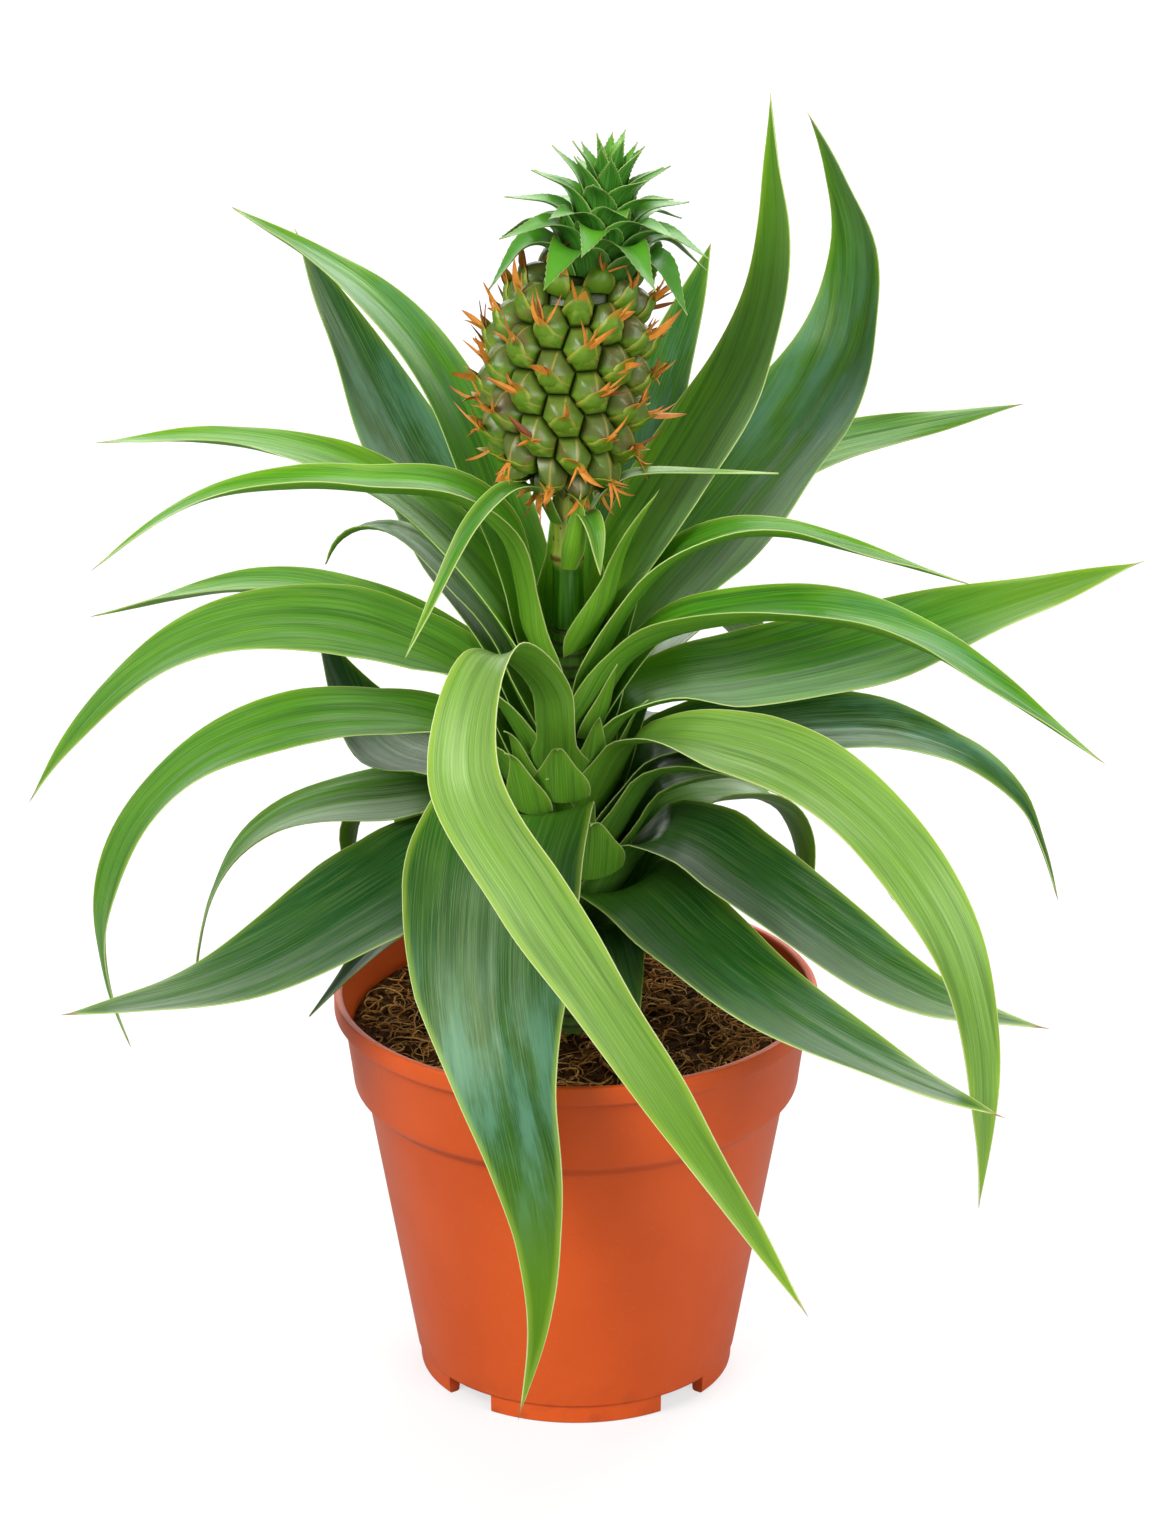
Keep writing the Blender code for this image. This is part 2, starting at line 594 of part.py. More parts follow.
def fruit_skin(places):
    """Each eye is a rounded hexagon between the grooves that it shares with its neighbours on three spirals."""
    bm = bmesh.new()
    corners = {}
    for first in range(FRUIT_EYES - SPIRALS[2]):
        for middle in SPIRALS[:2]:
            trio = [places[first], places[first + middle], places[first + SPIRALS[2]]]
            azimuth = sum(near_turn(a, trio[0][0]) for a, _ in trio) / 3
            share = sum(s for _, s in trio) / 3
            corners[first, middle] = (azimuth, share)
    verts = {key: bm.verts.new(skin_point(a, s, -EYE_GROOVE)) for key, (a, s) in corners.items()}
    for eye, (azimuth, share) in enumerate(places):
        five, eight, thirteen = (eye - step for step in SPIRALS)
        around = ((eye, 5), (eye, 8), (five, 5), (thirteen, 5), (thirteen, 8), (eight, 8))
        found = [key for key in around if key in verts]
        if len(found) < 6:
            continue
        turns = {key: near_turn(corners[key][0], azimuth) - azimuth for key in found}
        scale = fruit_outline(share)[0] / (math.pi * 0.5 * FRUIT_HEIGHT)
        found.sort(key=lambda key: math.atan2(corners[key][1] - share, turns[key] * scale))
        peak = bm.verts.new(skin_point(azimuth, share, EYE_HEIGHT))
        ring = []
        for key in found:
            a = azimuth + turns[key] * EYE_FLAT
            s = mix(share, corners[key][1], EYE_FLAT)
            ring.append(bm.verts.new(skin_point(a, s, EYE_SHOULDER)))
        for i, key in enumerate(found):
            after = (i + 1) % 6
            bm.faces.new((peak, ring[i], ring[after]))
            bm.faces.new((ring[i], verts[key], verts[found[after]], ring[after]))
    for vert in [v for v in bm.verts if not v.link_faces]:
        bm.verts.remove(vert)
    rim = [edge for edge in bm.edges if len(edge.link_faces) == 1]
    for height, upper in ((0, False), (FRUIT_HEIGHT, True)):
        pole = bm.verts.new((0, 0, height))
        for edge in rim:
            if (edge.verts[0].co.z > FRUIT_HEIGHT / 2) == upper:
                bm.faces.new((edge.verts[0], edge.verts[1], pole))
    bmesh.ops.triangulate(bm, faces=bm.faces)
    bmesh.ops.recalc_face_normals(bm, faces=bm.faces)
    return bm


def spike(foot, direction, bend, length, width, thickness):
    """A three-sided point that grows from foot and curves by bend over its length."""
    bm = bmesh.new()
    side = direction.cross(bend).normalized()
    rings = []
    for share in (0, 0.55):
        middle = foot + direction * length * share + bend * share**2
        half = side * width / 2 * (1 - share * 0.6)
        under = bend.normalized() * thickness * (1 - share * 0.6)
        rings.append([bm.verts.new(p) for p in (middle - half, middle + half, middle - under)])
    tip = bm.verts.new(foot + direction * length + bend)
    for i in range(3):
        after = (i + 1) % 3
        bm.faces.new((rings[0][i], rings[0][after], rings[1][after], rings[1][i]))
        bm.faces.new((rings[1][i], rings[1][after], tip))
    bm.faces.new(rings[0])
    bmesh.ops.recalc_face_normals(bm, faces=bm.faces)
    return bm


def make_fruit():
    """The fused eyes, with the pointed bract under each."""
    places = eye_places()
    fruit = add_object("fruit", fruit_skin(places), material("fruit_skin", (0.13, 0.15, 0.035), 0.55))
    rng = random.Random(11)
    bracts = []
    for azimuth, share in places[10:-14]:
        foot = skin_point(azimuth, share - 0.02, -BRACT_ROOT)
        outward = (skin_point(azimuth, share, 4 * MM) - skin_point(azimuth, share, 0)).normalized()
        upward = (skin_point(azimuth, share + 0.05, 0) - skin_point(azimuth, share, 0)).normalized()
        upward.rotate(Matrix.Rotation(rng.uniform(-1, 1) * BRACT_SCATTER, 3, outward))
        direction = (outward + upward * 0.1).normalized()
        length = BRACT_LENGTH * rng.uniform(0.85, 1.25)
        point = spike(foot, direction, upward * BRACT_CURVE, length, BRACT_WIDTH, BRACT_THICKNESS)
        bracts.append(add_object("bract", point))
    boolean(fruit, bracts, "UNION")
    fruit.data.transform(fruit_frame())


# Crown


def crown_leaf(radius, height, azimuth, length, width, fall):
    """A short stiff leaf of three rows and a point, hollow above, keeled below, and steep at its foot."""
    bm = bmesh.new()
    out = Vector((math.cos(azimuth), math.sin(azimuth), 0))
    across = Vector((-math.sin(azimuth), math.cos(azimuth), 0))
    up = Vector((0, 0, 1))
    point = up * height + out * radius
    rows, shares = [], (0, 0.35, 0.7, 1)
    for number, share in enumerate(shares):
        slope = math.radians(mix(CROWN_LEAF_RISE, fall, share))
        along = out * math.cos(slope) + up * math.sin(slope)
        normal = up * math.cos(slope) - out * math.sin(slope)
        if number:
            point = point + along * length * (share - shares[number - 1])
        if share == 1:
            break
        half = across * width / 2 * (1 - share**1.6)
        cup = normal * width * 0.16 * (1 - share)
        keel = normal * CROWN_KEEL
        rows.append([bm.verts.new(p) for p in (point - half + cup, point, point + half + cup, point - keel)])
    tip = bm.verts.new(point)
    for low, high in zip(rows, rows[1:]):
        for i in range(4):
            after = (i + 1) % 4
            bm.faces.new((low[i], low[after], high[after]))
            bm.faces.new((low[i], high[after], high[i]))
    for i in range(4):
        bm.faces.new((rows[-1][i], rows[-1][(i + 1) % 4], tip))
    bm.faces.new((rows[0][0], rows[0][1], rows[0][3]))
    bm.faces.new((rows[0][1], rows[0][2], rows[0][3]))
    bmesh.ops.recalc_face_normals(bm, faces=bm.faces)
    return bm


def make_crown():
    """A tuft of stiff leaves set by the golden angle on a short core, spreading below and upright above."""
    foot = FRUIT_HEIGHT + CONTACT_GAP
    profile = [
        (0, foot),
        (CROWN_CORE_RADIUS * 0.8, foot),
        (CROWN_CORE_RADIUS, foot + CROWN_CORE_HEIGHT * 0.25),
        (CROWN_CORE_RADIUS * 0.75, foot + CROWN_CORE_HEIGHT * 0.6),
        (CROWN_CORE_RADIUS * 0.3, foot + CROWN_CORE_HEIGHT),
        (0, foot + CROWN_CORE_HEIGHT + MM),
    ]
    crown = add_object("crown", turned(profile, 12), material("crown_green", (0.05, 0.2, 0.05), 0.45))
    leaves = []
    for number in range(CROWN_LEAVES):
        share = number / (CROWN_LEAVES - 1)
        height = foot + CROWN_CORE_HEIGHT * mix(0.03, 0.92, share)
        radius = CROWN_CORE_RADIUS * mix(0.8, 0.25, share)
        length = mix(*CROWN_LEAF_LENGTHS, share)
        width = mix(*CROWN_LEAF_WIDTHS, share)
        fall = mix(*CROWN_LEAF_FALLS, share**0.8)
        leaf = crown_leaf(radius, height, number * GOLDEN_ANGLE, length, width, fall)
        leaves.append(add_object("crown_leaf", leaf))
    boolean(crown, leaves, "UNION")
    crown.data.transform(fruit_frame())


def main():
    for old in list(bpy.data.objects):
        bpy.data.objects.remove(old)
    make_pot()
    make_growing_mix()
    make_stem()
    make_leaves()
    make_stalk()
    make_stalk_leaves()
    make_fruit()
    make_crown()


main()
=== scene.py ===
"""Potted pineapple plant: looks. The leaves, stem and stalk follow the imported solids. Each section below
makes one piece, or a group of like pieces, with its finish. Metres, +Z up, the plant's front towards -Y."""

import math
import random

import bmesh
import bpy
import numpy as np
from mathutils import Matrix, Vector


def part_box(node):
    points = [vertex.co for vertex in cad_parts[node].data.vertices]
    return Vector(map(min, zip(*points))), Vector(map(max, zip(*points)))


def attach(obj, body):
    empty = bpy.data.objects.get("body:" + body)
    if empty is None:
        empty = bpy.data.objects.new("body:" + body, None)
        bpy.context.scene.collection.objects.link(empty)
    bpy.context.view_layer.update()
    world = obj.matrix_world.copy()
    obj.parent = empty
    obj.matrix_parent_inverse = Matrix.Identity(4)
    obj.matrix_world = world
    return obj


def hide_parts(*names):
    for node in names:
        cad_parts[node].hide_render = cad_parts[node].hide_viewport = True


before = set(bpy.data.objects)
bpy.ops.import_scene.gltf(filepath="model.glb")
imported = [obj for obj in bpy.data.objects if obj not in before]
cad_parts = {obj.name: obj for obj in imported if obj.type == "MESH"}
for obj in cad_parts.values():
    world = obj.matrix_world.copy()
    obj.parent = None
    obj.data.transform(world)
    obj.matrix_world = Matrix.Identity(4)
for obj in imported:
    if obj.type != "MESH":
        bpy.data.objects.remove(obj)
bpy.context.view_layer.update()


# ---- Pot ----
# A grower's pot, injection moulded in orange polypropylene about 1.6 mm thick, satin and slightly chalky.
# The rim is a broad band with a rolled lip. The foot ring is parted into four feet by notches, and water
# leaves through a small hole on each side, just above the feet, and five in the floor.

MM = 0.001


def node(tree, kind, inputs=None, **settings):
    """Adds a shader node. An input is a value, or the output of another node."""
    made = tree.nodes.new(kind)
    for name, value in settings.items():
        setattr(made, name, value)
    for name, value in (inputs or {}).items():
        socket = made.inputs[name]
        if isinstance(value, bpy.types.NodeSocket):
            tree.links.new(value, socket)
        else:
            socket.default_value = value
    return made


def maths(tree, operation, a, b=0.5):
    return node(tree, "ShaderNodeMath", {0: a, 1: b}, operation=operation).outputs[0]


def times(tree, a, b):
    return maths(tree, "MULTIPLY", a, b)


def blend_colours(tree, share, a, b):
    """Colour a turned into colour b by the share."""
    made = node(tree, "ShaderNodeMix", data_type="RGBA")
    for socket, value in ((0, share), (6, a), (7, b)):
        if isinstance(value, bpy.types.NodeSocket):
            tree.links.new(value, made.inputs[socket])
        else:
            made.inputs[socket].default_value = value if socket == 0 else (*value, 1)
    return made.outputs[2]


def ramp(tree, value, low, high, low_out=0.0, high_out=1.0):
    """The value's place between low and high, clamped and eased."""
    made = node(tree, "ShaderNodeMapRange", {0: value, 1: low, 2: high, 3: low_out, 4: high_out})
    made.interpolation_type = "SMOOTHSTEP"
    return made.outputs[0]


def noise(tree, vector, scale, detail=2.0, roughness=0.5):
    made = node(tree, "ShaderNodeTexNoise", {"Scale": scale, "Detail": detail, "Roughness": roughness})
    tree.links.new(vector, made.inputs["Vector"])
    return made.outputs[0]


def place_on_plant(tree):
    return node(tree, "ShaderNodeTexCoord").outputs["Object"]


def new_material(name, roughness=0.5, coat=0.0, coat_roughness=0.1, specular=0.5):
    """A material with its Principled shader. Returns the material, its tree and the shader."""
    made = bpy.data.materials.new(name)
    made.use_nodes = True
    shader = made.node_tree.nodes["Principled BSDF"]
    shader.inputs["Roughness"].default_value = roughness
    shader.inputs["Coat Weight"].default_value = coat
    shader.inputs["Coat Roughness"].default_value = coat_roughness
    shader.inputs["Specular IOR Level"].default_value = specular
    return made, made.node_tree, shader


def paint(tree, shader, colour):
    tree.links.new(colour, shader.inputs["Base Color"])


def bump(tree, shader, height, strength, distance):
    made = node(tree, "ShaderNodeBump", {"Height": height, "Strength": strength, "Distance": distance})
    tree.links.new(made.outputs[0], shader.inputs["Normal"])


def new_piece(name, points, faces, finish, smooth_angle=40, stands_for=()):
    """A mesh object that rides on the plant's one body, and takes the place of the solids it stands for."""
    mesh = bpy.data.meshes.new(name)
    mesh.from_pydata([tuple(p) for p in points], [], faces)
    mesh.shade_smooth()
    mesh.set_sharp_from_angle(angle=math.radians(smooth_angle))
    mesh.materials.append(finish)
    made = bpy.data.objects.new(name, mesh)
    bpy.context.scene.collection.objects.link(made)
    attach(made, "root")
    if stands_for:
        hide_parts(*stands_for)
    return made


def lathe(profile, sides):
    """Points and faces turned about Z from (radius, height) pairs that start and end on the axis."""
    points, faces, rings = [], [], []
    for radius, height in profile:
        ring = []
        for i in range(sides if radius else 1):
            angle = 2 * math.pi * i / sides
            ring.append(len(points))
            points.append((radius * math.cos(angle), radius * math.sin(angle), height))
        rings.append(ring)
    for low, high in zip(rings, rings[1:]):
        for i in range(sides):
            after = (i + 1) % sides
            corners = [low[i % len(low)], low[after % len(low)], high[after % len(high)], high[i % len(high)]]
            faces.append(list(dict.fromkeys(corners)))
    return points, faces


def eased(profile, reach, steps=3):
    """The profile with its inner corners rounded over the reach, or as far as their sides allow."""
    out = [profile[0]]
    for before, corner, after in zip(profile, profile[1:], profile[2:]):
        a, b, c = Vector(before), Vector(corner), Vector(after)
        cut = min(reach, (a - b).length * 0.45, (c - b).length * 0.45)
        start, end = b + (a - b).normalized() * cut, b + (c - b).normalized() * cut
        for i in range(steps + 1):
            t = i / steps
            out.append(tuple(start.lerp(b, t).lerp(b.lerp(end, t), t)))
    return out + [profile[-1]]


POT_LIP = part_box("pot")[1].x
POT_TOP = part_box("pot")[1].z
FOOT_HEIGHT = 6 * MM
FLOOR_TOP = 8 * MM
BASE_RADIUS = 46.8 * MM
WALL = 1.6 * MM
WALL_TOP = POT_TOP - 31 * MM
BAND_FOOT = POT_TOP - 22.5 * MM
LIP_FOOT = POT_TOP - 6.5 * MM
TAPER = 0.173
BAND_STEP = 4.3 * MM
NOTCH_DEGREES = 43
NOTCH_HALF_DEGREES = 10.5
SIDE_HOLE = 1.6 * MM
FLOOR_HOLE = 3.5 * MM
FLOOR_HOLE_RING = 27 * MM
HOLE_LENGTH = 12 * MM
CORNER_ROUNDING = 0.9 * MM
POT_SIDES = 180
POT_CREASE_DEGREES = 32


def wall_radius(height):
    return BASE_RADIUS + TAPER * (height - FOOT_HEIGHT)


wall_top_radius = wall_radius(WALL_TOP)
band_radius = wall_top_radius + BAND_STEP
foot_radius = BASE_RADIUS - 0.8 * MM
pot_outside = eased([
    (foot_radius - 4 * MM, FOOT_HEIGHT),
    (foot_radius - 3.5 * MM, 0),
    (foot_radius - 0.1 * MM, 0),
    (foot_radius, FOOT_HEIGHT - 0.45 * MM),
    (BASE_RADIUS, FOOT_HEIGHT + 0.1 * MM),
    (wall_top_radius, WALL_TOP),
    (band_radius - 0.6 * MM, WALL_TOP + 3.4 * MM),
    (band_radius, BAND_FOOT),
    (band_radius + 2.2 * MM, LIP_FOOT),
    (POT_LIP, LIP_FOOT + 0.9 * MM),
    (POT_LIP, POT_TOP),
    (POT_LIP - 2.4 * MM, POT_TOP),
    (POT_LIP - 2.7 * MM, POT_TOP - 2 * MM),
    (band_radius - WALL + 1.6 * MM, POT_TOP - 9 * MM),
    (band_radius - WALL, BAND_FOOT + WALL / 2),
    (wall_top_radius - WALL, WALL_TOP + WALL / 2),
    (wall_radius(FLOOR_TOP) - WALL, FLOOR_TOP),
    (0, FLOOR_TOP),
], CORNER_ROUNDING)
pot_points, pot_faces = lathe([(0, FOOT_HEIGHT)] + pot_outside, POT_SIDES)

plastic, tree, shader = new_material("orange_polypropylene", roughness=0.40, specular=0.30)
place = place_on_plant(tree)
cloudy = noise(tree, place, 22, 3)
speck = noise(tree, place, 900, 2)
height_on_pot = node(tree, "ShaderNodeSeparateXYZ", {0: place}).outputs[2]
shade = blend_colours(tree, ramp(tree, cloudy, 0.35, 0.7), (0.75, 0.108, 0.015), (0.69, 0.094, 0.012))
dusty = times(tree, ramp(tree, speck, 0.58, 0.75), 0.10)
shade = blend_colours(tree, dusty, shade, (0.72, 0.26, 0.13))
# the pot darkens in blotches over its lowest 16 mm, towards the foot
low_down = ramp(tree, height_on_pot, 0.016, 0.0)
blotched_dark_foot = times(tree, low_down, ramp(tree, noise(tree, place, 160, 4), 0.45, 0.7))
shade = blend_colours(tree, times(tree, blotched_dark_foot, 0.35), shade, (0.34, 0.055, 0.02))
paint(tree, shader, shade)
tree.links.new(ramp(tree, cloudy, 0.3, 0.75, 0.33, 0.44), shader.inputs["Roughness"])
waviness = times(tree, noise(tree, place, 60, 2), 1.5)
bump(tree, shader, maths(tree, "ADD", noise(tree, place, 1500, 1), waviness), 0.10, 0.0002)
pot = new_piece(
    "grower_pot", pot_points, pot_faces, plastic, POT_CREASE_DEGREES, ["pot"]
)


def cut_from(body, cutters, smooth_angle):
    """Cuts closed bodies, each a list of points and faces, from a piece."""
    points, faces = [], []
    for more_points, more_faces in cutters:
        faces += [[len(points) + i for i in face] for face in more_faces]
        points += [tuple(p) for p in more_points]
    mesh = bpy.data.meshes.new("cutter")
    mesh.from_pydata(points, [], faces)
    bm = bmesh.new()
    bm.from_mesh(mesh)
    bmesh.ops.recalc_face_normals(bm, faces=bm.faces)
    bm.to_mesh(mesh)
    bm.free()
    cutter = bpy.data.objects.new("cutter", mesh)
    bpy.context.scene.collection.objects.link(cutter)
    modifier = body.modifiers.new("cut", "BOOLEAN")
    modifier.operation = "DIFFERENCE"
    modifier.object = cutter
    result = bpy.data.meshes.new_from_object(body.evaluated_get(bpy.context.evaluated_depsgraph_get()))
    body.modifiers.clear()
    body.data = result
    bpy.data.objects.remove(cutter)
    result.set_sharp_from_angle(angle=math.radians(smooth_angle))


def rod(middle, direction, radius, length, sides=20):
    """A closed cylinder about a middle point."""
    half = length / 2
    points, faces = lathe([(0, -half), (radius, -half), (radius, half), (0, half)], sides)
    turn = Vector((0, 0, 1)).rotation_difference(Vector(direction))
    return [Vector(middle) + turn @ Vector(p) for p in points], faces


cutters = []
BLOCK_FACES = [(0, 1, 2, 3), (4, 5, 6, 7), (0, 1, 5, 4), (1, 2, 6, 5), (2, 3, 7, 6), (3, 0, 4, 7)]
for middle in [side + turn for side in (-90, 90) for turn in (-NOTCH_DEGREES, NOTCH_DEGREES)]:
    ring = []
    for radius, turn in ((0.65, -1), (1.3, -1), (1.3, 1), (0.65, 1)):
        angle = math.radians(middle + turn * NOTCH_HALF_DEGREES)
        ring.append((BASE_RADIUS * radius * math.cos(angle), BASE_RADIUS * radius * math.sin(angle)))
    corners = [(x, y, z) for z in (-2 * MM, FOOT_HEIGHT - 0.5 * MM) for x, y in ring]
    cutters.append((corners, BLOCK_FACES))
for side in (-1, 1):
    cutters.append(rod((side * BASE_RADIUS, 0, FLOOR_TOP + 2 * MM), (1, 0, 0), SIDE_HOLE, HOLE_LENGTH))
for i in range(5):
    angle = math.radians(45 + 90 * i)
    reach = FLOOR_HOLE_RING if i else 0
    middle = (reach * math.cos(angle), reach * math.sin(angle), FOOT_HEIGHT)
    cutters.append(rod(middle, (0, 0, 1), FLOOR_HOLE, HOLE_LENGTH))
cut_from(pot, cutters, POT_CREASE_DEGREES)


# ---- Growing mix ----
# Damp peat with coconut fibre and bark crumbs, filled loosely to a centimetre below the rim. The plug follows
# the pot's inside; its top is lumpy, and loose fibres and crumbs lie on it.

MIX_TOP = 107 * MM
MIX_GAP = 0.5 * MM
MIX_FLOOR = FLOOR_TOP + 0.3 * MM
MIX_EDGE = 64.4 * MM
MIX_SIDES = 144
STEM_X = sum(c.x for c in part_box("stem")) / 2
LUMPS = 90
rng = np.random.default_rng(5)
lump_places = rng.uniform(-1, 1, (LUMPS, 2)) * MIX_EDGE
lump_sizes = rng.uniform(3, 9, LUMPS) * MM
lump_heights = rng.uniform(-2.4, 2.2, LUMPS) * MM


def mix_height(x, y):
    """Height of the lumpy top."""
    away = np.hypot(lump_places[:, 0] - x, lump_places[:, 1] - y) / lump_sizes
    edge = min(1.0, max(0.0, (MIX_EDGE - math.hypot(x, y)) / (4 * MM)))
    return MIX_TOP + float((lump_heights * np.exp(-away**2)).sum()) * edge


profile = [
    (0, MIX_FLOOR),
    (wall_radius(FLOOR_TOP) - WALL - MIX_GAP, MIX_FLOOR),
    (wall_top_radius - WALL - MIX_GAP, WALL_TOP + WALL / 2),
    (band_radius - WALL - MIX_GAP, BAND_FOOT + WALL / 2),
] + [(MIX_EDGE * share, MIX_TOP) for share in np.linspace(1, 0.02, 44)] + [(0, MIX_TOP)]
mix_points, mix_faces = lathe(profile, MIX_SIDES)
crumbling = random.Random(8)
for i, (x, y, z) in enumerate(mix_points):
    if z > MIX_TOP - MM and math.hypot(x, y) < MIX_EDGE * 0.995:
        mix_points[i] = (x, y, mix_height(x, y) + crumbling.uniform(-0.35, 0.35) * MM)
peat, tree, shader = new_material("damp_peat", roughness=0.95, specular=0.06)
place = place_on_plant(tree)
grain = noise(tree, place, 420, 4, 0.65)
shade = blend_colours(tree, ramp(tree, grain, 0.35, 0.7), (0.014, 0.006, 0.002), (0.105, 0.047, 0.013))
shade = blend_colours(tree, ramp(tree, noise(tree, place, 130, 3), 0.58, 0.74), shade, (0.180, 0.090, 0.028))
paint(tree, shader, shade)
bump(tree, shader, grain, 0.9, 0.0012)
new_piece("peat_plug", mix_points, mix_faces, peat, 180, ["growing_mix"])

coir, tree, shader = new_material("coconut_fibre", roughness=0.7, specular=0.12)
tone = node(tree, "ShaderNodeAttribute", attribute_name="tone").outputs["Fac"]
place = place_on_plant(tree)
shade = blend_colours(tree, ramp(tree, tone, 0.0, 0.6), (0.13, 0.050, 0.012), (0.50, 0.230, 0.055))
shade = blend_colours(tree, ramp(tree, tone, 0.6, 1.0), shade, (0.68, 0.37, 0.115))
stained = ramp(tree, noise(tree, place, 900, 2), 0.45, 0.75, 0.0, 0.6)
shade = blend_colours(tree, stained, shade, (0.04, 0.017, 0.007))
paint(tree, shader, shade)


def add_values(piece, name, values, kind="FLOAT"):
    """Stores one value, or one vector, for each point of a piece."""
    layer = piece.data.attributes.new(name, kind, "POINT")
    field = "vector" if kind == "FLOAT_VECTOR" else "value"
    layer.data.foreach_set(field, np.asarray(values, np.float32).ravel())


def strand(points, radii, sides=3):
    """A closed thin tube through the points, thinning as the radii say, with a point at its end."""
    out, faces = [], []
    for i, point in enumerate(points[:-1]):
        ahead = (points[i + 1] - points[max(0, i - 1)]).normalized()
        side = ahead.cross(Vector((0.3, 0.2, 1))).normalized()
        up = side.cross(ahead)
        for k in range(sides):
            angle = 2 * math.pi * k / sides
            out.append(point + (side * math.cos(angle) + up * math.sin(angle)) * radii[i])
    rings = len(points) - 1
    for i in range(rings - 1):
        for k in range(sides):
            after = (k + 1) % sides
            faces.append((i * sides + k, i * sides + after, (i + 1) * sides + after, (i + 1) * sides + k))
    out.append(points[-1])
    last = (rings - 1) * sides
    faces += [(last + k, last + (k + 1) % sides, last + sides) for k in range(sides)]
    faces.append(tuple(range(sides))[::-1])
    return out, faces


class Batch:
    """Gathers many small closed bodies, and their values, for one piece."""

    def __init__(self):
        self.points, self.faces, self.values = [], [], {}

    def add(self, points, faces, **values):
        start = len(self.points)
        self.points += [tuple(p) for p in points]
        self.faces += [tuple(start + i for i in face) for face in faces]
        for name, value in values.items():
            many = value if isinstance(value, (list, np.ndarray)) else [value] * len(points)
            self.values.setdefault(name, []).extend(many)

    def piece(self, name, finish, smooth_angle=60, slot=None, stands_for=(), kinds=None):
        made = new_piece(name, self.points, self.faces, finish, smooth_angle, stands_for)
        for value_name, values in self.values.items():
            add_values(made, value_name, values, (kinds or {}).get(value_name, "FLOAT"))
        return made


FIBRES = 1250
FIBRE_THICKNESSES = (0.15, 0.22, 0.30, 0.42)
fibre_rng = random.Random(21)
fibres = Batch()
for _ in range(FIBRES):
    angle = fibre_rng.uniform(0, 2 * math.pi)
    reach = (MIX_EDGE - 2 * MM) * math.sqrt(fibre_rng.uniform(0.03, 1))
    x, y = reach * math.cos(angle), reach * math.sin(angle)
    heading = fibre_rng.uniform(0, 2 * math.pi)
    curl = fibre_rng.uniform(-0.6, 0.6)
    step = fibre_rng.uniform(0.8, 1.7) * MM
    lift = fibre_rng.uniform(-0.2, 2.4) * MM
    count = fibre_rng.randint(6, 15)
    path = []
    for i in range(count):
        if math.hypot(x, y) < MIX_EDGE - 0.8 * MM:
            arch = math.sin(math.pi * i / (count - 1)) * lift
            path.append(Vector((x, y, mix_height(x, y) + arch + 0.15 * MM)))
        heading += curl + fibre_rng.uniform(-0.45, 0.45)
        x += step * math.cos(heading)
        y += step * math.sin(heading)
    if len(path) < 4:
        continue
    thick = fibre_rng.choice(FIBRE_THICKNESSES) * MM
    radii = [thick * (1 - 0.6 * i / len(path)) for i in range(len(path))]
    fibres.add(*strand(path, radii), tone=min(1.0, max(0.0, fibre_rng.gauss(0.6, 0.32))))
fibres.piece("loose_fibres", coir, 180, "peat_and_coir")

CRUMBS = 520
CRUMB_SIZES = (0.5, 0.7, 0.9, 1.2, 1.7)
CRUMB_STRETCHES = ((0.6, 1.6), (0.6, 1.3), (0.4, 0.8))
crumb_rng = random.Random(33)
crumbs = Batch()
for _ in range(CRUMBS):
    angle = crumb_rng.uniform(0, 2 * math.pi)
    reach = (MIX_EDGE - 2 * MM) * math.sqrt(crumb_rng.uniform(0.02, 1))
    x, y = reach * math.cos(angle), reach * math.sin(angle)
    size = crumb_rng.choice(CRUMB_SIZES) * MM
    made = bmesh.new()
    bmesh.ops.create_icosphere(made, subdivisions=1, radius=size)
    stretch = Vector([crumb_rng.uniform(*span) for span in CRUMB_STRETCHES])
    turn = Matrix.Rotation(crumb_rng.uniform(0, 6), 3, "Z")
    seat = Vector((x, y, mix_height(x, y) + size * 0.2))
    lumpy = [turn @ (vert.co * crumb_rng.uniform(0.75, 1.25) * stretch) + seat for vert in made.verts]
    crumbs.add(lumpy, [[v.index for v in f.verts] for f in made.faces])
    made.free()
crumbs.piece("peat_crumbs", peat, 30, "peat_and_coir")


# ---- Stem ----
# The short thick stem stands in the mix: pale green tissue with brown leaf scars. The sheaths of the leaves
# clasp it, and hide all but its foot.

stem_skin, tree, shader = new_material("stem_tissue", roughness=0.6)
place = place_on_plant(tree)
wave_inputs = {"Vector": place, "Scale": 90, "Distortion": 1.5}
scar_rings = node(tree, "ShaderNodeTexWave", wave_inputs, bands_direction="Z").outputs["Fac"]
shade = blend_colours(tree, ramp(tree, scar_rings, 0.6, 0.95), (0.075, 0.17, 0.012), (0.045, 0.07, 0.012))
paint(tree, shader, shade)
bump(tree, shader, scar_rings, 0.4, 0.0004)
stem_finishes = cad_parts["stem"].data.materials
stem_finishes.clear()
stem_finishes.append(stem_skin)


# ---- Leaves ----
# Strap leaves in a rosette, each with a sheath that clasps the stem and a blade with a long point: about a
# millimetre thick in the middle, thin at the cream edge line, hollow across, finely ribbed, glossy above and
# greyer below. Old low leaves are dark and bluish, the arching ones bleached, young ones bright.

ACROSS_STEPS = 25
EDGE_THICKNESS = 0.28 * MM
MIDDLE_THICKNESS = 0.85 * MM
SHEATH_REACH = 30 * MM
SHEATH_WRAP = math.radians(78)
SHEATH_GAP = 0.6 * MM
SHEATH_FLARE = 0.05
SHEATH_DROP = 3 * MM
LOW_RIBS = 4
LOW_RIB_HEIGHT = 0.006


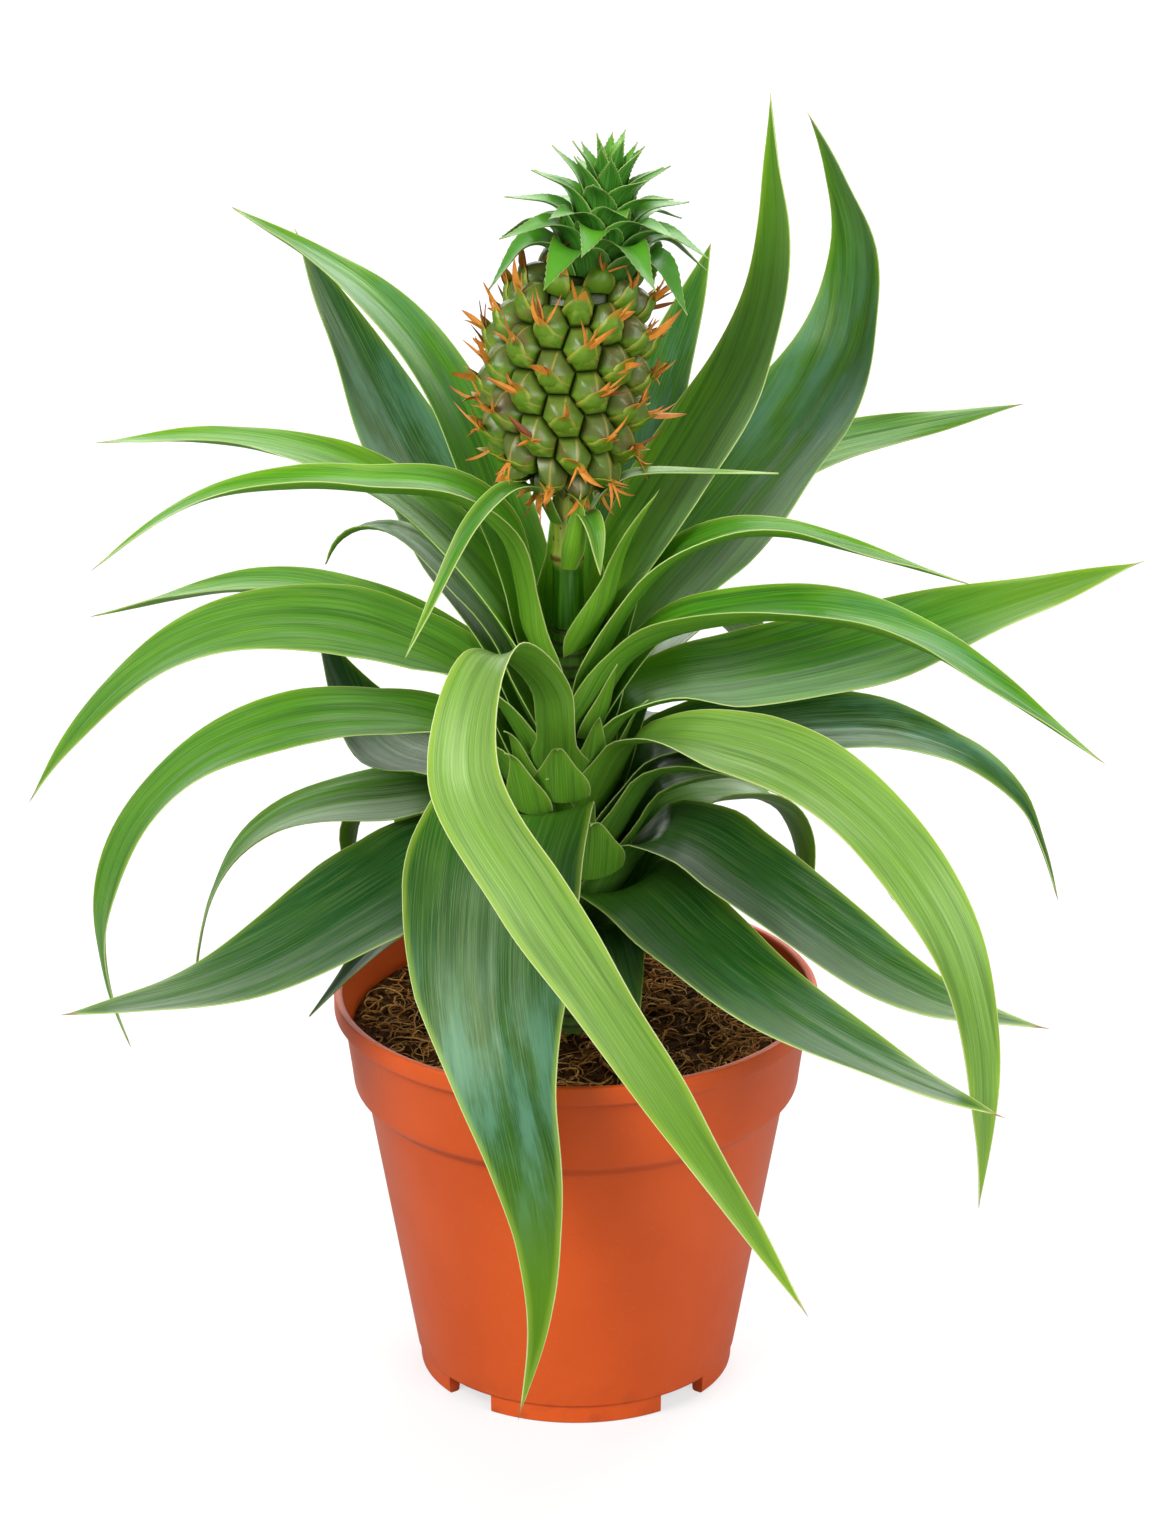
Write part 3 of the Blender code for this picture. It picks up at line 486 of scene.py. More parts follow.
def leaf_rows(name):
    """A leaf solid's rows of points, foot to tip and right to left: upper face, lower face, and tip."""
    bm = bmesh.new()
    bm.from_mesh(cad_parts[name].data)
    bmesh.ops.remove_doubles(bm, verts=bm.verts, dist=2e-6)
    tip = max(bm.verts, key=lambda v: len(v.link_edges))
    layers, seen = [[tip]], {tip}
    while layers[-1]:
        found = []
        for vert in layers[-1]:
            for edge in vert.link_edges:
                other = edge.other_vert(vert)
                if other not in seen:
                    seen.add(other)
                    found.append(other)
        layers.append(found)
    layers = layers[1:-1][::-1]
    spots = [np.array([v.co for v in layer]) for layer in layers]

    def ring(layer):
        members = {v: i for i, v in enumerate(layer)}
        order, here = [0], layer[0]
        while len(order) < len(layer):
            near = [e.other_vert(here) for e in here.link_edges]
            here = next(v for v in near if v in members and members[v] not in order)
            order.append(members[here])
        return order

    widest = max(range(1, len(layers)), key=lambda i: np.ptp(spots[i], axis=0).max())
    order = ring(layers[widest])
    half = len(order) // 2
    loop = spots[widest][order]
    steps = np.linalg.norm(loop - np.roll(loop, -1, axis=0), axis=1)
    cut = min(range(half), key=lambda k: steps[k] + steps[k + half])
    order = order[cut + 1:] + order[:cut + 1]
    rows = {widest: spots[widest][order]}

    def carry(start, row):
        """Lines up the next row's points with the last row's."""
        last = rows[start] - rows[start].mean(0)
        loose = spots[row] - spots[row].mean(0)
        if row == 0:
            left, picked = list(range(len(loose))), []
            for point in last:
                best = min(left, key=lambda k: np.linalg.norm(loose[k] - point))
                left.remove(best)
                picked.append(best)
        else:
            turn = ring(layers[row])
            tries = [list(np.roll(t, k)) for t in (turn, turn[::-1]) for k in range(len(turn))]
            picked = min(tries, key=lambda t: np.linalg.norm(loose[t] - last))
        rows[row] = spots[row][picked]

    for row in range(widest - 1, -1, -1):
        carry(row + 1, row)
    for row in range(widest + 1, len(layers)):
        carry(row - 1, row)
    both = np.array([rows[i] for i in range(len(layers))])
    tip_place = np.array(tip.co)
    bm.free()
    first, second = both[:, :half], both[:, half:][:, ::-1]
    # the foot's two faces are told apart by which lies nearer the stem, as in the row above it
    away = [np.hypot(face[:2, 2, 0] - STEM_X, face[:2, 2, 1]) for face in (first, second)]
    nearer = away[0] < away[1]
    if nearer[0] != nearer[1]:
        first[0], second[0] = second[0].copy(), first[0].copy()
    if np.linalg.norm(first[0, 0] - first[1, 0]) > np.linalg.norm(first[0, -1] - first[1, 0]):
        first[0], second[0] = first[0, ::-1].copy(), second[0, ::-1].copy()
    rise = (first - second)[3:6, 2, 2].sum()
    upper, lower = (first, second) if rise > 0 else (second, first)
    ahead = upper[1, 2] - upper[0, 2]
    if np.dot(np.cross(ahead, upper[0, -1] - upper[0, 0]), upper[0, 2] - lower[0, 2]) < 0:
        upper, lower = upper[:, ::-1], lower[:, ::-1]
    return upper, lower, tip_place


def curve_through(knots, values, at):
    """A smooth curve through the values at the knots."""
    h = np.diff(knots).reshape((-1,) + (1,) * (values.ndim - 1))
    d = np.diff(values, axis=0) / h
    slope = np.empty_like(values)
    slope[1:-1] = (d[:-1] * h[1:] + d[1:] * h[:-1]) / (h[1:] + h[:-1])
    slope[0] = 1.5 * d[0] - 0.5 * slope[1]
    slope[-1] = 1.5 * d[-1] - 0.5 * slope[-2]
    i = np.clip(np.searchsorted(knots, at, side="right") - 1, 0, len(d) - 1)
    h = h[i]
    t = ((at - knots[i]) / np.diff(knots)[i]).reshape(h.shape)
    a, b, sa, sb = values[i], values[i + 1], slope[i] * h, slope[i + 1] * h
    from_last = a * (1 + 2 * t) * (1 - t) ** 2 + sa * t * (1 - t) ** 2
    return from_last + b * t * t * (3 - 2 * t) + sb * t * t * (t - 1)


def unit(vectors):
    return vectors / np.maximum(np.linalg.norm(vectors, axis=-1, keepdims=True), 1e-12)


def turning(axis, degrees):
    return np.array(Matrix.Rotation(math.radians(degrees), 3, Vector(axis)))


def settled(grid, share, flat, widths, turns, reach, shifts):
    """Eases a blade's lie: takes the share "flat" of its hollow out, scales its width and its reach past the
    sheath, and turns it over stretches of its length. A turn is its start and end, as shares, and its nod,
    swing and roll in degrees; a roll tilts the sections about the blade's line, which keeps its place. A
    shift is a share, and how far the line moves to its left and up there, in millimetres."""
    middle = grid.shape[1] // 2
    spine = grid[:, middle].copy()
    leftward = unit(grid[:, -1] - grid[:, 0])
    ahead = unit(np.gradient(spine, axis=0))
    upward = unit(np.cross(ahead, leftward))
    offsets = grid - spine[:, None]
    free = np.clip((share - 0.1) / 0.2, 0, 1)
    v = (offsets * upward[:, None]).sum(-1)
    u = (offsets * leftward[:, None]).sum(-1)
    arc = np.linalg.norm(np.diff(grid, axis=1), axis=2).sum(1)
    chord = np.linalg.norm(grid[:, -1] - grid[:, 0], axis=1)
    wider = 1 + flat * free * (arc / np.maximum(chord, 1e-9) - 1)
    scale = np.interp(share, *zip(*widths)) if widths else np.ones(len(share))
    offsets = offsets + leftward[:, None] * (u * (wider * scale - 1)[:, None])[..., None]
    offsets = offsets + upward[:, None] * (v * ((1 - flat * free) * scale - 1)[:, None])[..., None]
    turn, rolled = np.eye(3), 0.0
    placed = spine.copy()
    out = [placed[0] + offsets[0]]
    for i in range(1, len(share)):
        for start, end, nod, swing, roll in turns:
            before, now = np.clip((share[i - 1:i + 1] - start) / (end - start), 0, 1)
            part = now - before
            if part > 0:
                turn = turn @ turning(leftward[i], nod * part) @ turning(upward[i], swing * part)
                rolled += roll * part
        placed[i] = placed[i - 1] + turn @ (spine[i] - spine[i - 1]) * (reach if share[i] > 0.15 else 1)
        out.append(placed[i] + offsets[i] @ (turn @ turning(ahead[i], rolled)).T)
    out = np.array(out)
    if shifts:
        table = np.array(shifts, float)
        moved = curve_through(table[:, 0], table[:, 1:] * MM, share)
        out += (leftward * moved[:, :1])[:, None]
        out[:, :, 2] += moved[:, 1:]
    return out


def clasped(grid, along, across):
    """Opens a blade's foot into a sheath that wraps the stem, and closes it to the blade as it rises."""
    spine = grid[:, grid.shape[1] // 2]
    radius = np.hypot(spine[:, 0] - STEM_X, spine[:, 1])
    azimuth = np.arctan2(spine[:, 1], spine[:, 0] - STEM_X)
    share = np.clip(along / SHEATH_REACH, 0, 1)
    weight = 1 - share * share * (3 - 2 * share)
    turn = azimuth[:, None] - SHEATH_WRAP * across
    out = radius[:, None] + np.outer(SHEATH_GAP + SHEATH_FLARE * along, across**2)
    height = spine[:, 2:3] - SHEATH_DROP * across**2
    arc = np.stack([STEM_X + out * np.cos(turn), out * np.sin(turn), height], -1)
    if np.linalg.norm(arc[1, 0] - grid[1, 0]) > np.linalg.norm(arc[1, 0] - grid[1, -1]):
        arc = arc[:, ::-1]
    return grid + (arc - grid) * weight[:, None, None]


def blade_surface(
    solid, seed=0, row_step=3.4 * MM, wave=0.7 * MM, crease=0.012,
    flat=0.0, widths=(), turns=(), reach=1.0, shifts=(), clasps=True,
):
    """A fine middle surface for a leaf solid: its grid of points, their shares of the length, the length,
    the tip, and the places across. Its margins wave, and its middle has a crease, as a share of its width."""
    upper, lower, tip = leaf_rows(solid)
    middle = (upper + lower) / 2
    rows = np.concatenate([middle, np.repeat(tip[None, None], middle.shape[1], axis=1)])
    spine = rows[:, rows.shape[1] // 2]
    knots = np.concatenate([[0], np.cumsum(np.linalg.norm(np.diff(spine, axis=0), axis=1))])
    count = max(10, int(knots[-1] / row_step))
    share = np.linspace(0, 0.994, count)
    grid = curve_through(knots, rows, share * knots[-1])
    across = np.linspace(-1, 1, ACROSS_STEPS)
    columns = np.linspace(-1, 1, middle.shape[1])
    grid = curve_through(columns, grid.transpose(1, 0, 2), across).transpose(1, 0, 2)
    if flat or widths or turns or shifts or reach != 1:
        grid = settled(grid, share, flat, widths, turns, reach, shifts)
        tip = grid[-1].mean(0) * 2 - grid[-2].mean(0)
    if clasps:
        grid = clasped(grid, share * knots[-1], across)
    along = np.gradient(grid, axis=0)
    leftward = np.gradient(grid, axis=1)
    normal = unit(np.cross(along, leftward))
    # margins wave a little, and a few low ribs and one groove run the length of the blade
    draw = np.random.default_rng(seed)
    length = knots[-1]
    free = np.clip((share - 0.2) / 0.25, 0, 1) * np.clip((1 - share) / 0.15, 0, 1)
    width = np.linalg.norm(grid[:, -1] - grid[:, 0], axis=1)
    offset = np.zeros(grid.shape[:2])
    for side in (-1, 1):
        beat = 2 * math.pi * share * length / draw.uniform(0.05, 0.085) + draw.uniform(0, 6)
        offset += np.outer(np.sin(beat) * free * wave, np.clip(across * side, 0, 1) ** 3)
    for _ in range(LOW_RIBS):
        rib = np.exp(-(((across - draw.uniform(-0.75, 0.75)) / 0.09) ** 2))
        offset += np.outer(free * width * LOW_RIB_HEIGHT, rib)
    offset -= np.outer(free * width * crease, np.exp(-((across / 0.07) ** 2)))
    grid = grid + normal * offset[..., None]
    return grid, share, length, tip, across


def leaf_piece(name, solid, finish, slot, looks, **form):
    """A fine closed leaf over its solid. Of its values, lay is across and along, in metres, and the share of
    the length; edge is millimetres from the margin; under marks the lower face. The looks are age, bleach,
    cloud, pale and tip, which give its colour."""
    grid, share, length, tip, across = blade_surface(solid, **form)
    normal = unit(np.cross(np.gradient(grid, axis=0), np.gradient(grid, axis=1)))
    thin = 1 - np.abs(across) ** 3
    thickness = EDGE_THICKNESS + (MIDDLE_THICKNESS - EDGE_THICKNESS) * np.outer(1 - 0.6 * share**2, thin)
    tops = grid + normal * thickness[..., None] / 2
    bottoms = grid - normal * thickness[..., None] / 2
    rows, columns = grid.shape[:2]
    points = np.concatenate([tops.reshape(-1, 3), bottoms.reshape(-1, 3), tip[None]])

    def at(i, j, low=0):
        return low * rows * columns + i * columns + j

    faces = []
    for i in range(rows - 1):
        for j in range(columns - 1):
            faces.append((at(i, j), at(i + 1, j), at(i + 1, j + 1), at(i, j + 1)))
            faces.append((at(i, j, 1), at(i, j + 1, 1), at(i + 1, j + 1, 1), at(i + 1, j, 1)))
        j = columns - 1
        faces.append((at(i, j), at(i + 1, j), at(i + 1, j, 1), at(i, j, 1)))
        faces.append((at(i, 0, 1), at(i + 1, 0, 1), at(i + 1, 0), at(i, 0)))
    last = 2 * rows * columns
    for j in range(columns - 1):
        faces.append((at(0, j), at(0, j + 1), at(0, j + 1, 1), at(0, j, 1)))
        faces.append((at(rows - 1, j), last, at(rows - 1, j + 1)))
        faces.append((at(rows - 1, j, 1), at(rows - 1, j + 1, 1), last))
    faces.append((at(rows - 1, columns - 1), last, at(rows - 1, columns - 1, 1)))
    faces.append((at(rows - 1, 0, 1), last, at(rows - 1, 0)))
    piece = new_piece(name, points, faces, finish, 70, [solid])
    width = np.linalg.norm(np.diff(grid, axis=1), axis=2).sum(1)
    sideways = np.outer(width / 2, across)
    along, shares = (np.repeat(row[:, None], columns, axis=1) for row in (share * length, share))
    lay = np.stack([sideways, along, shares], -1).reshape(-1, 3)
    edge = np.outer(width / 2, 1 - np.abs(across)).ravel() / MM
    add_values(piece, "lay", np.concatenate([lay, lay, [[0, length, 1]]]), "FLOAT_VECTOR")
    add_values(piece, "edge", np.concatenate([edge, edge, [0]]))
    add_values(piece, "under", np.repeat([0.0, 1.0, 0.5], [rows * columns, rows * columns, 1]))
    for value_name, value in zip(("age", "bleach", "cloud", "pale", "tip"), looks):
        add_values(piece, value_name, np.full(len(points), value))
    return piece


def new_group(name, inputs, outputs):
    """A shader node group with named sockets."""
    group = bpy.data.node_groups.new(name, "ShaderNodeTree")
    for socket, kind, value in inputs:
        made = group.interface.new_socket(socket, in_out="INPUT", socket_type=kind)
        if value is not None:
            made.default_value = value
    for socket, kind in outputs:
        group.interface.new_socket(socket, in_out="OUTPUT", socket_type=kind)
    return group, group.nodes.new("NodeGroupInput").outputs, group.nodes.new("NodeGroupOutput").inputs


# Marks along a leaf, much longer than wide: fine ribs, broader bands, and patches. Lay is across and along,
# in metres; Fine and Broad are how close the marks lie, to the metre.
ribbing, given, out = new_group(
    "lengthwise_ribs",
    [
        ("Lay", "NodeSocketVector", None),
        ("Fine", "NodeSocketFloat", 2600.0),
        ("Broad", "NodeSocketFloat", 420.0),
    ],
    [("Ribs", "NodeSocketFloat"), ("Bands", "NodeSocketFloat"), ("Patches", "NodeSocketFloat")],
)


def stretched(tree, vector, scale):
    """The vector times the scale, each way by its own part."""
    return node(tree, "ShaderNodeVectorMath", {0: vector, 1: scale}, operation="MULTIPLY").outputs[0]


for output, scale_name, share, stretch, detail in (
    ("Ribs", "Fine", 1.0, 0.012, 2),
    ("Bands", "Broad", 1.0, 0.022, 6),
    ("Patches", "Broad", 0.3, 0.22, 2),
):
    scale = times(ribbing, given[scale_name], share)
    lengthwise = times(ribbing, scale, stretch)
    both_ways = node(ribbing, "ShaderNodeCombineXYZ", {0: scale, 1: lengthwise, 2: 0.0}).outputs[0]
    ribbing.links.new(noise(ribbing, stretched(ribbing, given["Lay"], both_ways), 1.0, detail), out[output])

# The pale line at a leaf's edge and the yellow-green strip inside it: Edge is millimetres from the margin.
margin, given, out = new_group(
    "pale_margin",
    [
        ("Colour", "NodeSocketColor", (0, 0, 0, 1)),
        ("Edge", "NodeSocketFloat", 0.0),
        ("Line", "NodeSocketColor", (0.75, 0.72, 0.36, 1)),
        ("Strip", "NodeSocketColor", (0.28, 0.42, 0.04, 1)),
        ("Reach", "NodeSocketFloat", 2.4),
    ],
    [("Colour", "NodeSocketColor")],
)
inward = maths(margin, "DIVIDE", given["Edge"], given["Reach"])
strip = maths(margin, "SUBTRACT", 1.0, ramp(margin, inward, 0.15, 1.0))
inner = blend_colours(margin, times(margin, strip, 0.75), given["Colour"], given["Strip"])
line = maths(margin, "SUBTRACT", 1.0, ramp(margin, given["Edge"], 0.06, 0.34))
margin.links.new(blend_colours(margin, line, inner, given["Line"]), out["Colour"])


def group_in(tree, group, inputs):
    return node(tree, "ShaderNodeGroup", inputs, node_tree=group).outputs


def value_of(tree, name, output="Fac"):
    return node(tree, "ShaderNodeAttribute", attribute_name=name).outputs[output]


strap, tree, shader = new_material(
    "strap_leaf", roughness=0.36, coat=0.11, coat_roughness=0.25, specular=0.30
)
shader.inputs["Specular Tint"].default_value = (0.8, 1.0, 0.5, 1)
shader.inputs["Subsurface Weight"].default_value = 0.2
shader.inputs["Subsurface Radius"].default_value = (0.8, 1.0, 0.25)
shader.inputs["Subsurface Scale"].default_value = 2 * MM
lay = value_of(tree, "lay", "Vector")
share = node(tree, "ShaderNodeSeparateXYZ", {0: lay}).outputs[2]
age, bleach, cloud, pale, tip = (value_of(tree, name) for name in ("age", "bleach", "cloud", "pale", "tip"))
under, edge = value_of(tree, "under"), value_of(tree, "edge")
ribs = group_in(tree, ribbing, {"Lay": lay})
colour = blend_colours(tree, ramp(tree, age, 0.0, 0.5), (0.105, 0.340, 0.001), (0.045, 0.215, 0.002))
colour = blend_colours(tree, ramp(tree, age, 0.5, 1.0), colour, (0.010, 0.072, 0.011))
colour = blend_colours(tree, bleach, colour, (0.200, 0.365, 0.066))
banded = ramp(tree, ribs["Bands"], 0.46, 0.62)
band_depth = maths(tree, "SUBTRACT", 0.5, times(tree, bleach, 0.22))
colour = blend_colours(tree, times(tree, banded, band_depth), colour, (0.006, 0.055, 0.004))
streak_depth = maths(tree, "SUBTRACT", 0.42, times(tree, age, 0.36))
streaked = times(tree, ramp(tree, ribs["Patches"], 0.50, 0.70), streak_depth)
colour = blend_colours(tree, streaked, colour, (0.19, 0.42, 0.004))
rib_depth = maths(tree, "ADD", 0.14, times(tree, bleach, 0.36))
fine = times(tree, ramp(tree, ribs["Ribs"], 0.44, 0.66), rib_depth)
colour = blend_colours(tree, fine, colour, (0.34, 0.50, 0.16))
clouds = ramp(tree, noise(tree, stretched(tree, lay, (95, 22, 0)), 1, 4, 0.6), 0.40, 0.62)
midway = times(tree, ramp(tree, share, 0.34, 0.52), ramp(tree, share, 0.88, 0.66))
misty = times(tree, times(tree, clouds, cloud), midway)
colour = blend_colours(tree, misty, colour, (0.110, 0.275, 0.175))
young_tip = times(tree, ramp(tree, share, 0.58, 0.84), tip)
colour = blend_colours(tree, young_tip, colour, (0.095, 0.235, 0.007))
foot_pale = times(tree, ramp(tree, share, 0.30, 0.05), 0.6)
colour = blend_colours(tree, foot_pale, colour, (0.120, 0.340, 0.002))
strip = times(tree, pale, 0.8)
line_colour = blend_colours(tree, pale, (0.20, 0.36, 0.04), (0.60, 0.70, 0.30))
strip_colour = blend_colours(tree, strip, colour, (0.30, 0.46, 0.040))
edging = {"Edge": edge, "Line": line_colour}
colour = group_in(tree, margin, {"Colour": colour, "Strip": strip_colour, **edging})["Colour"]
below = blend_colours(tree, age, (0.140, 0.360, 0.008), (0.055, 0.195, 0.018))
below = blend_colours(tree, times(tree, ramp(tree, ribs["Ribs"], 0.42, 0.66), 0.5), below, (0.23, 0.42, 0.08))
below = blend_colours(tree, times(tree, banded, 0.35), below, (0.030, 0.12, 0.008))
below = group_in(tree, margin, {"Colour": below, "Strip": (0.15, 0.30, 0.02, 1), **edging})["Colour"]
colour = blend_colours(tree, under, colour, below)
dry_tip = times(tree, ramp(tree, share, 0.975, 0.995), age)
colour = blend_colours(tree, dry_tip, colour, (0.30, 0.19, 0.06))
paint(tree, shader, colour)
gloss = ramp(tree, ribs["Bands"], 0.3, 0.7, 0.30, 0.46)
tree.links.new(maths(tree, "ADD", gloss, times(tree, under, 0.20)), shader.inputs["Roughness"])
relief = maths(tree, "ADD", ribs["Ribs"], times(tree, ribs["Bands"], 1.6))
bump(tree, shader, relief, 0.28, 0.0004)


def sheet(top, bottom, rows, columns):
    """Faces of a closed thin sheet: its upper points come first, then its lower ones, row by row."""
    shift = rows * columns
    faces = []
    for i in range(rows - 1):
        for j in range(columns - 1):
            a, d = i * columns + j, (i + 1) * columns + j
            b, c = a + 1, d + 1
            faces += [(a, b, c, d), (shift + d, shift + c, shift + b, shift + a)]
        a, d = i * columns, (i + 1) * columns
        faces.append((a, d, shift + d, shift + a))
        faces.append((d + columns - 1, a + columns - 1, shift + a + columns - 1, shift + d + columns - 1))
    for j in range(columns - 1):
        faces.append((j + 1, j, shift + j, shift + j + 1))
        k = (rows - 1) * columns + j
        faces.append((k, k + 1, shift + k + 1, shift + k))
    return top + bottom, faces


def short_leaf(batch, place, foot, azimuth, length, width, slopes, bend, swing, hollow, tooth=0.0, **looks):
    """A short broad pointed leaf. Slopes are its foot's and tip's, in degrees; bend is the middle and the
    stretch of the turn between them, as shares of its length; hollow is how deep its foot and tip are, as
    shares of half its width; tooth is how far every other point of its margin stands out."""
    rows, columns = 32, 11
    point = Vector(foot)
    top, bottom, lay, edge = [], [], [], []
    up = Vector((0, 0, 1))
    for i in range(rows):
        t = i / (rows - 1) * 0.99
        s = min(1.0, max(0.0, (t - bend[0]) / bend[1] + 0.5))
        slope = math.radians(slopes[0] + (slopes[1] - slopes[0]) * s * s * (3 - 2 * s))
        heading = azimuth + swing * t * t
        out_way = Vector((math.cos(heading), math.sin(heading), 0))
        left_way = Vector((-math.sin(heading), math.cos(heading), 0))
        ahead = out_way * math.cos(slope) + up * math.sin(slope)
        normal = up * math.cos(slope) - out_way * math.sin(slope)
        if i:
            point = point + ahead * length / (rows - 1)
        belly = 0.9 + 0.1 * math.sin(math.pi * min(1, t * 2))
        half = width / 2 * belly * (1 - t**1.7) ** 1.35 + 0.05 * MM
        depth = half * (hollow[0] + (hollow[1] - hollow[0]) * t)
        bite = tooth if i % 2 and 0.15 < t < 0.92 else 0
        for j in range(columns):
            u = -1 + 2 * j / (columns - 1)
            stick_out = bite if abs(u) == 1 else 0
            spot = point + left_way * (half * u + math.copysign(stick_out, u)) + ahead * stick_out
            spot += normal * (depth * u * u)
            thick = normal * (0.25 - 0.175 * u * u) * MM
            top.append(place @ (spot + thick))
            bottom.append(place @ (spot - thick))
            lay.append((half * u, t * length, t))
            edge.append(half * (1 - abs(u)) / MM)
    points, faces = sheet(top, bottom, rows, columns)
    under = [0.0] * len(top) + [1.0] * len(top)
    batch.add(points, [face[::-1] for face in faces], lay=lay * 2, edge=edge * 2, under=under, **looks)


# For each leaf, lowest first: how old it is, how bleached, how cloudy with bloom half way along, how pale its
# margins are, and how far its tip keeps a young leaf's green.
LEAF_LOOKS = [
    (0.90, 0.1, 0.2, 0.2, 0), (0.95, 0.0, 0.2, 0.2, 0), (0.90, 0.0, 0.2, 0.2, 0),
    (0.60, 0.5, 0.1, 0.4, 0), (0.65, 0.5, 0.1, 0.4, 0), (0.90, 0.0, 0.15, 0.7, 0.1),
    (0.95, 0.0, 0.05, 0.4, 0.2), (0.90, 0.1, 0.2, 0.2, 0), (0.92, 0.0, 0.15, 0.7, 0.2),
    (0.90, 0.1, 0.2, 0.2, 0), (0.60, 0.25, 0.0, 0.3, 0), (0.92, 0.0, 0.75, 0.9, 0.9),
    (0.75, 0.1, 0.4, 0.3, 0), (1.00, 0.0, 0.3, 0.3, 0), (0.75, 0.3, 0.1, 0.4, 0),
    (0.80, 0.1, 0.2, 0.2, 0), (0.90, 0.0, 0.6, 0.5, 0), (0.55, 0.18, 0.0, 0.4, 0),
    (0.70, 0.2, 0.2, 0.2, 0), (0.40, 0.80, 0.0, 0.8, 0.1), (0.25, 0.1, 0.1, 0.3, 0),
    (0.45, 0.90, 0.0, 1.0, 0.65), (0.60, 0.2, 0.1, 0.2, 0), (0.52, 0.22, 0.0, 0.5, 0),
    (0.50, 0.0, 0.1, 0.6, 1.0), (0.95, 0.0, 0.5, 0.3, 0), (0.50, 0.1, 0.1, 0.3, 0),
    (0.85, 0.2, 0.4, 0.3, 0), (0.70, 0.1, 0.7, 0.4, 0.2), (0.50, 0.0, 0.3, 0.4, 0),
    (0.80, 0.0, 0.5, 0.3, 0), (0.15, 0.10, 0.0, 0.4, 0), (0.50, 0.1, 0.4, 0.4, 0),
    (0.40, 0.0, 0.0, 0.5, 0), (0.25, 0.0, 0.0, 0.5, 0), (0.25, 0.2, 0.1, 0.6, 0.6),
    (0.15, 0.0, 0.0, 0.3, 0), (0.20, 0.0, 0.0, 0.3, 0),
]
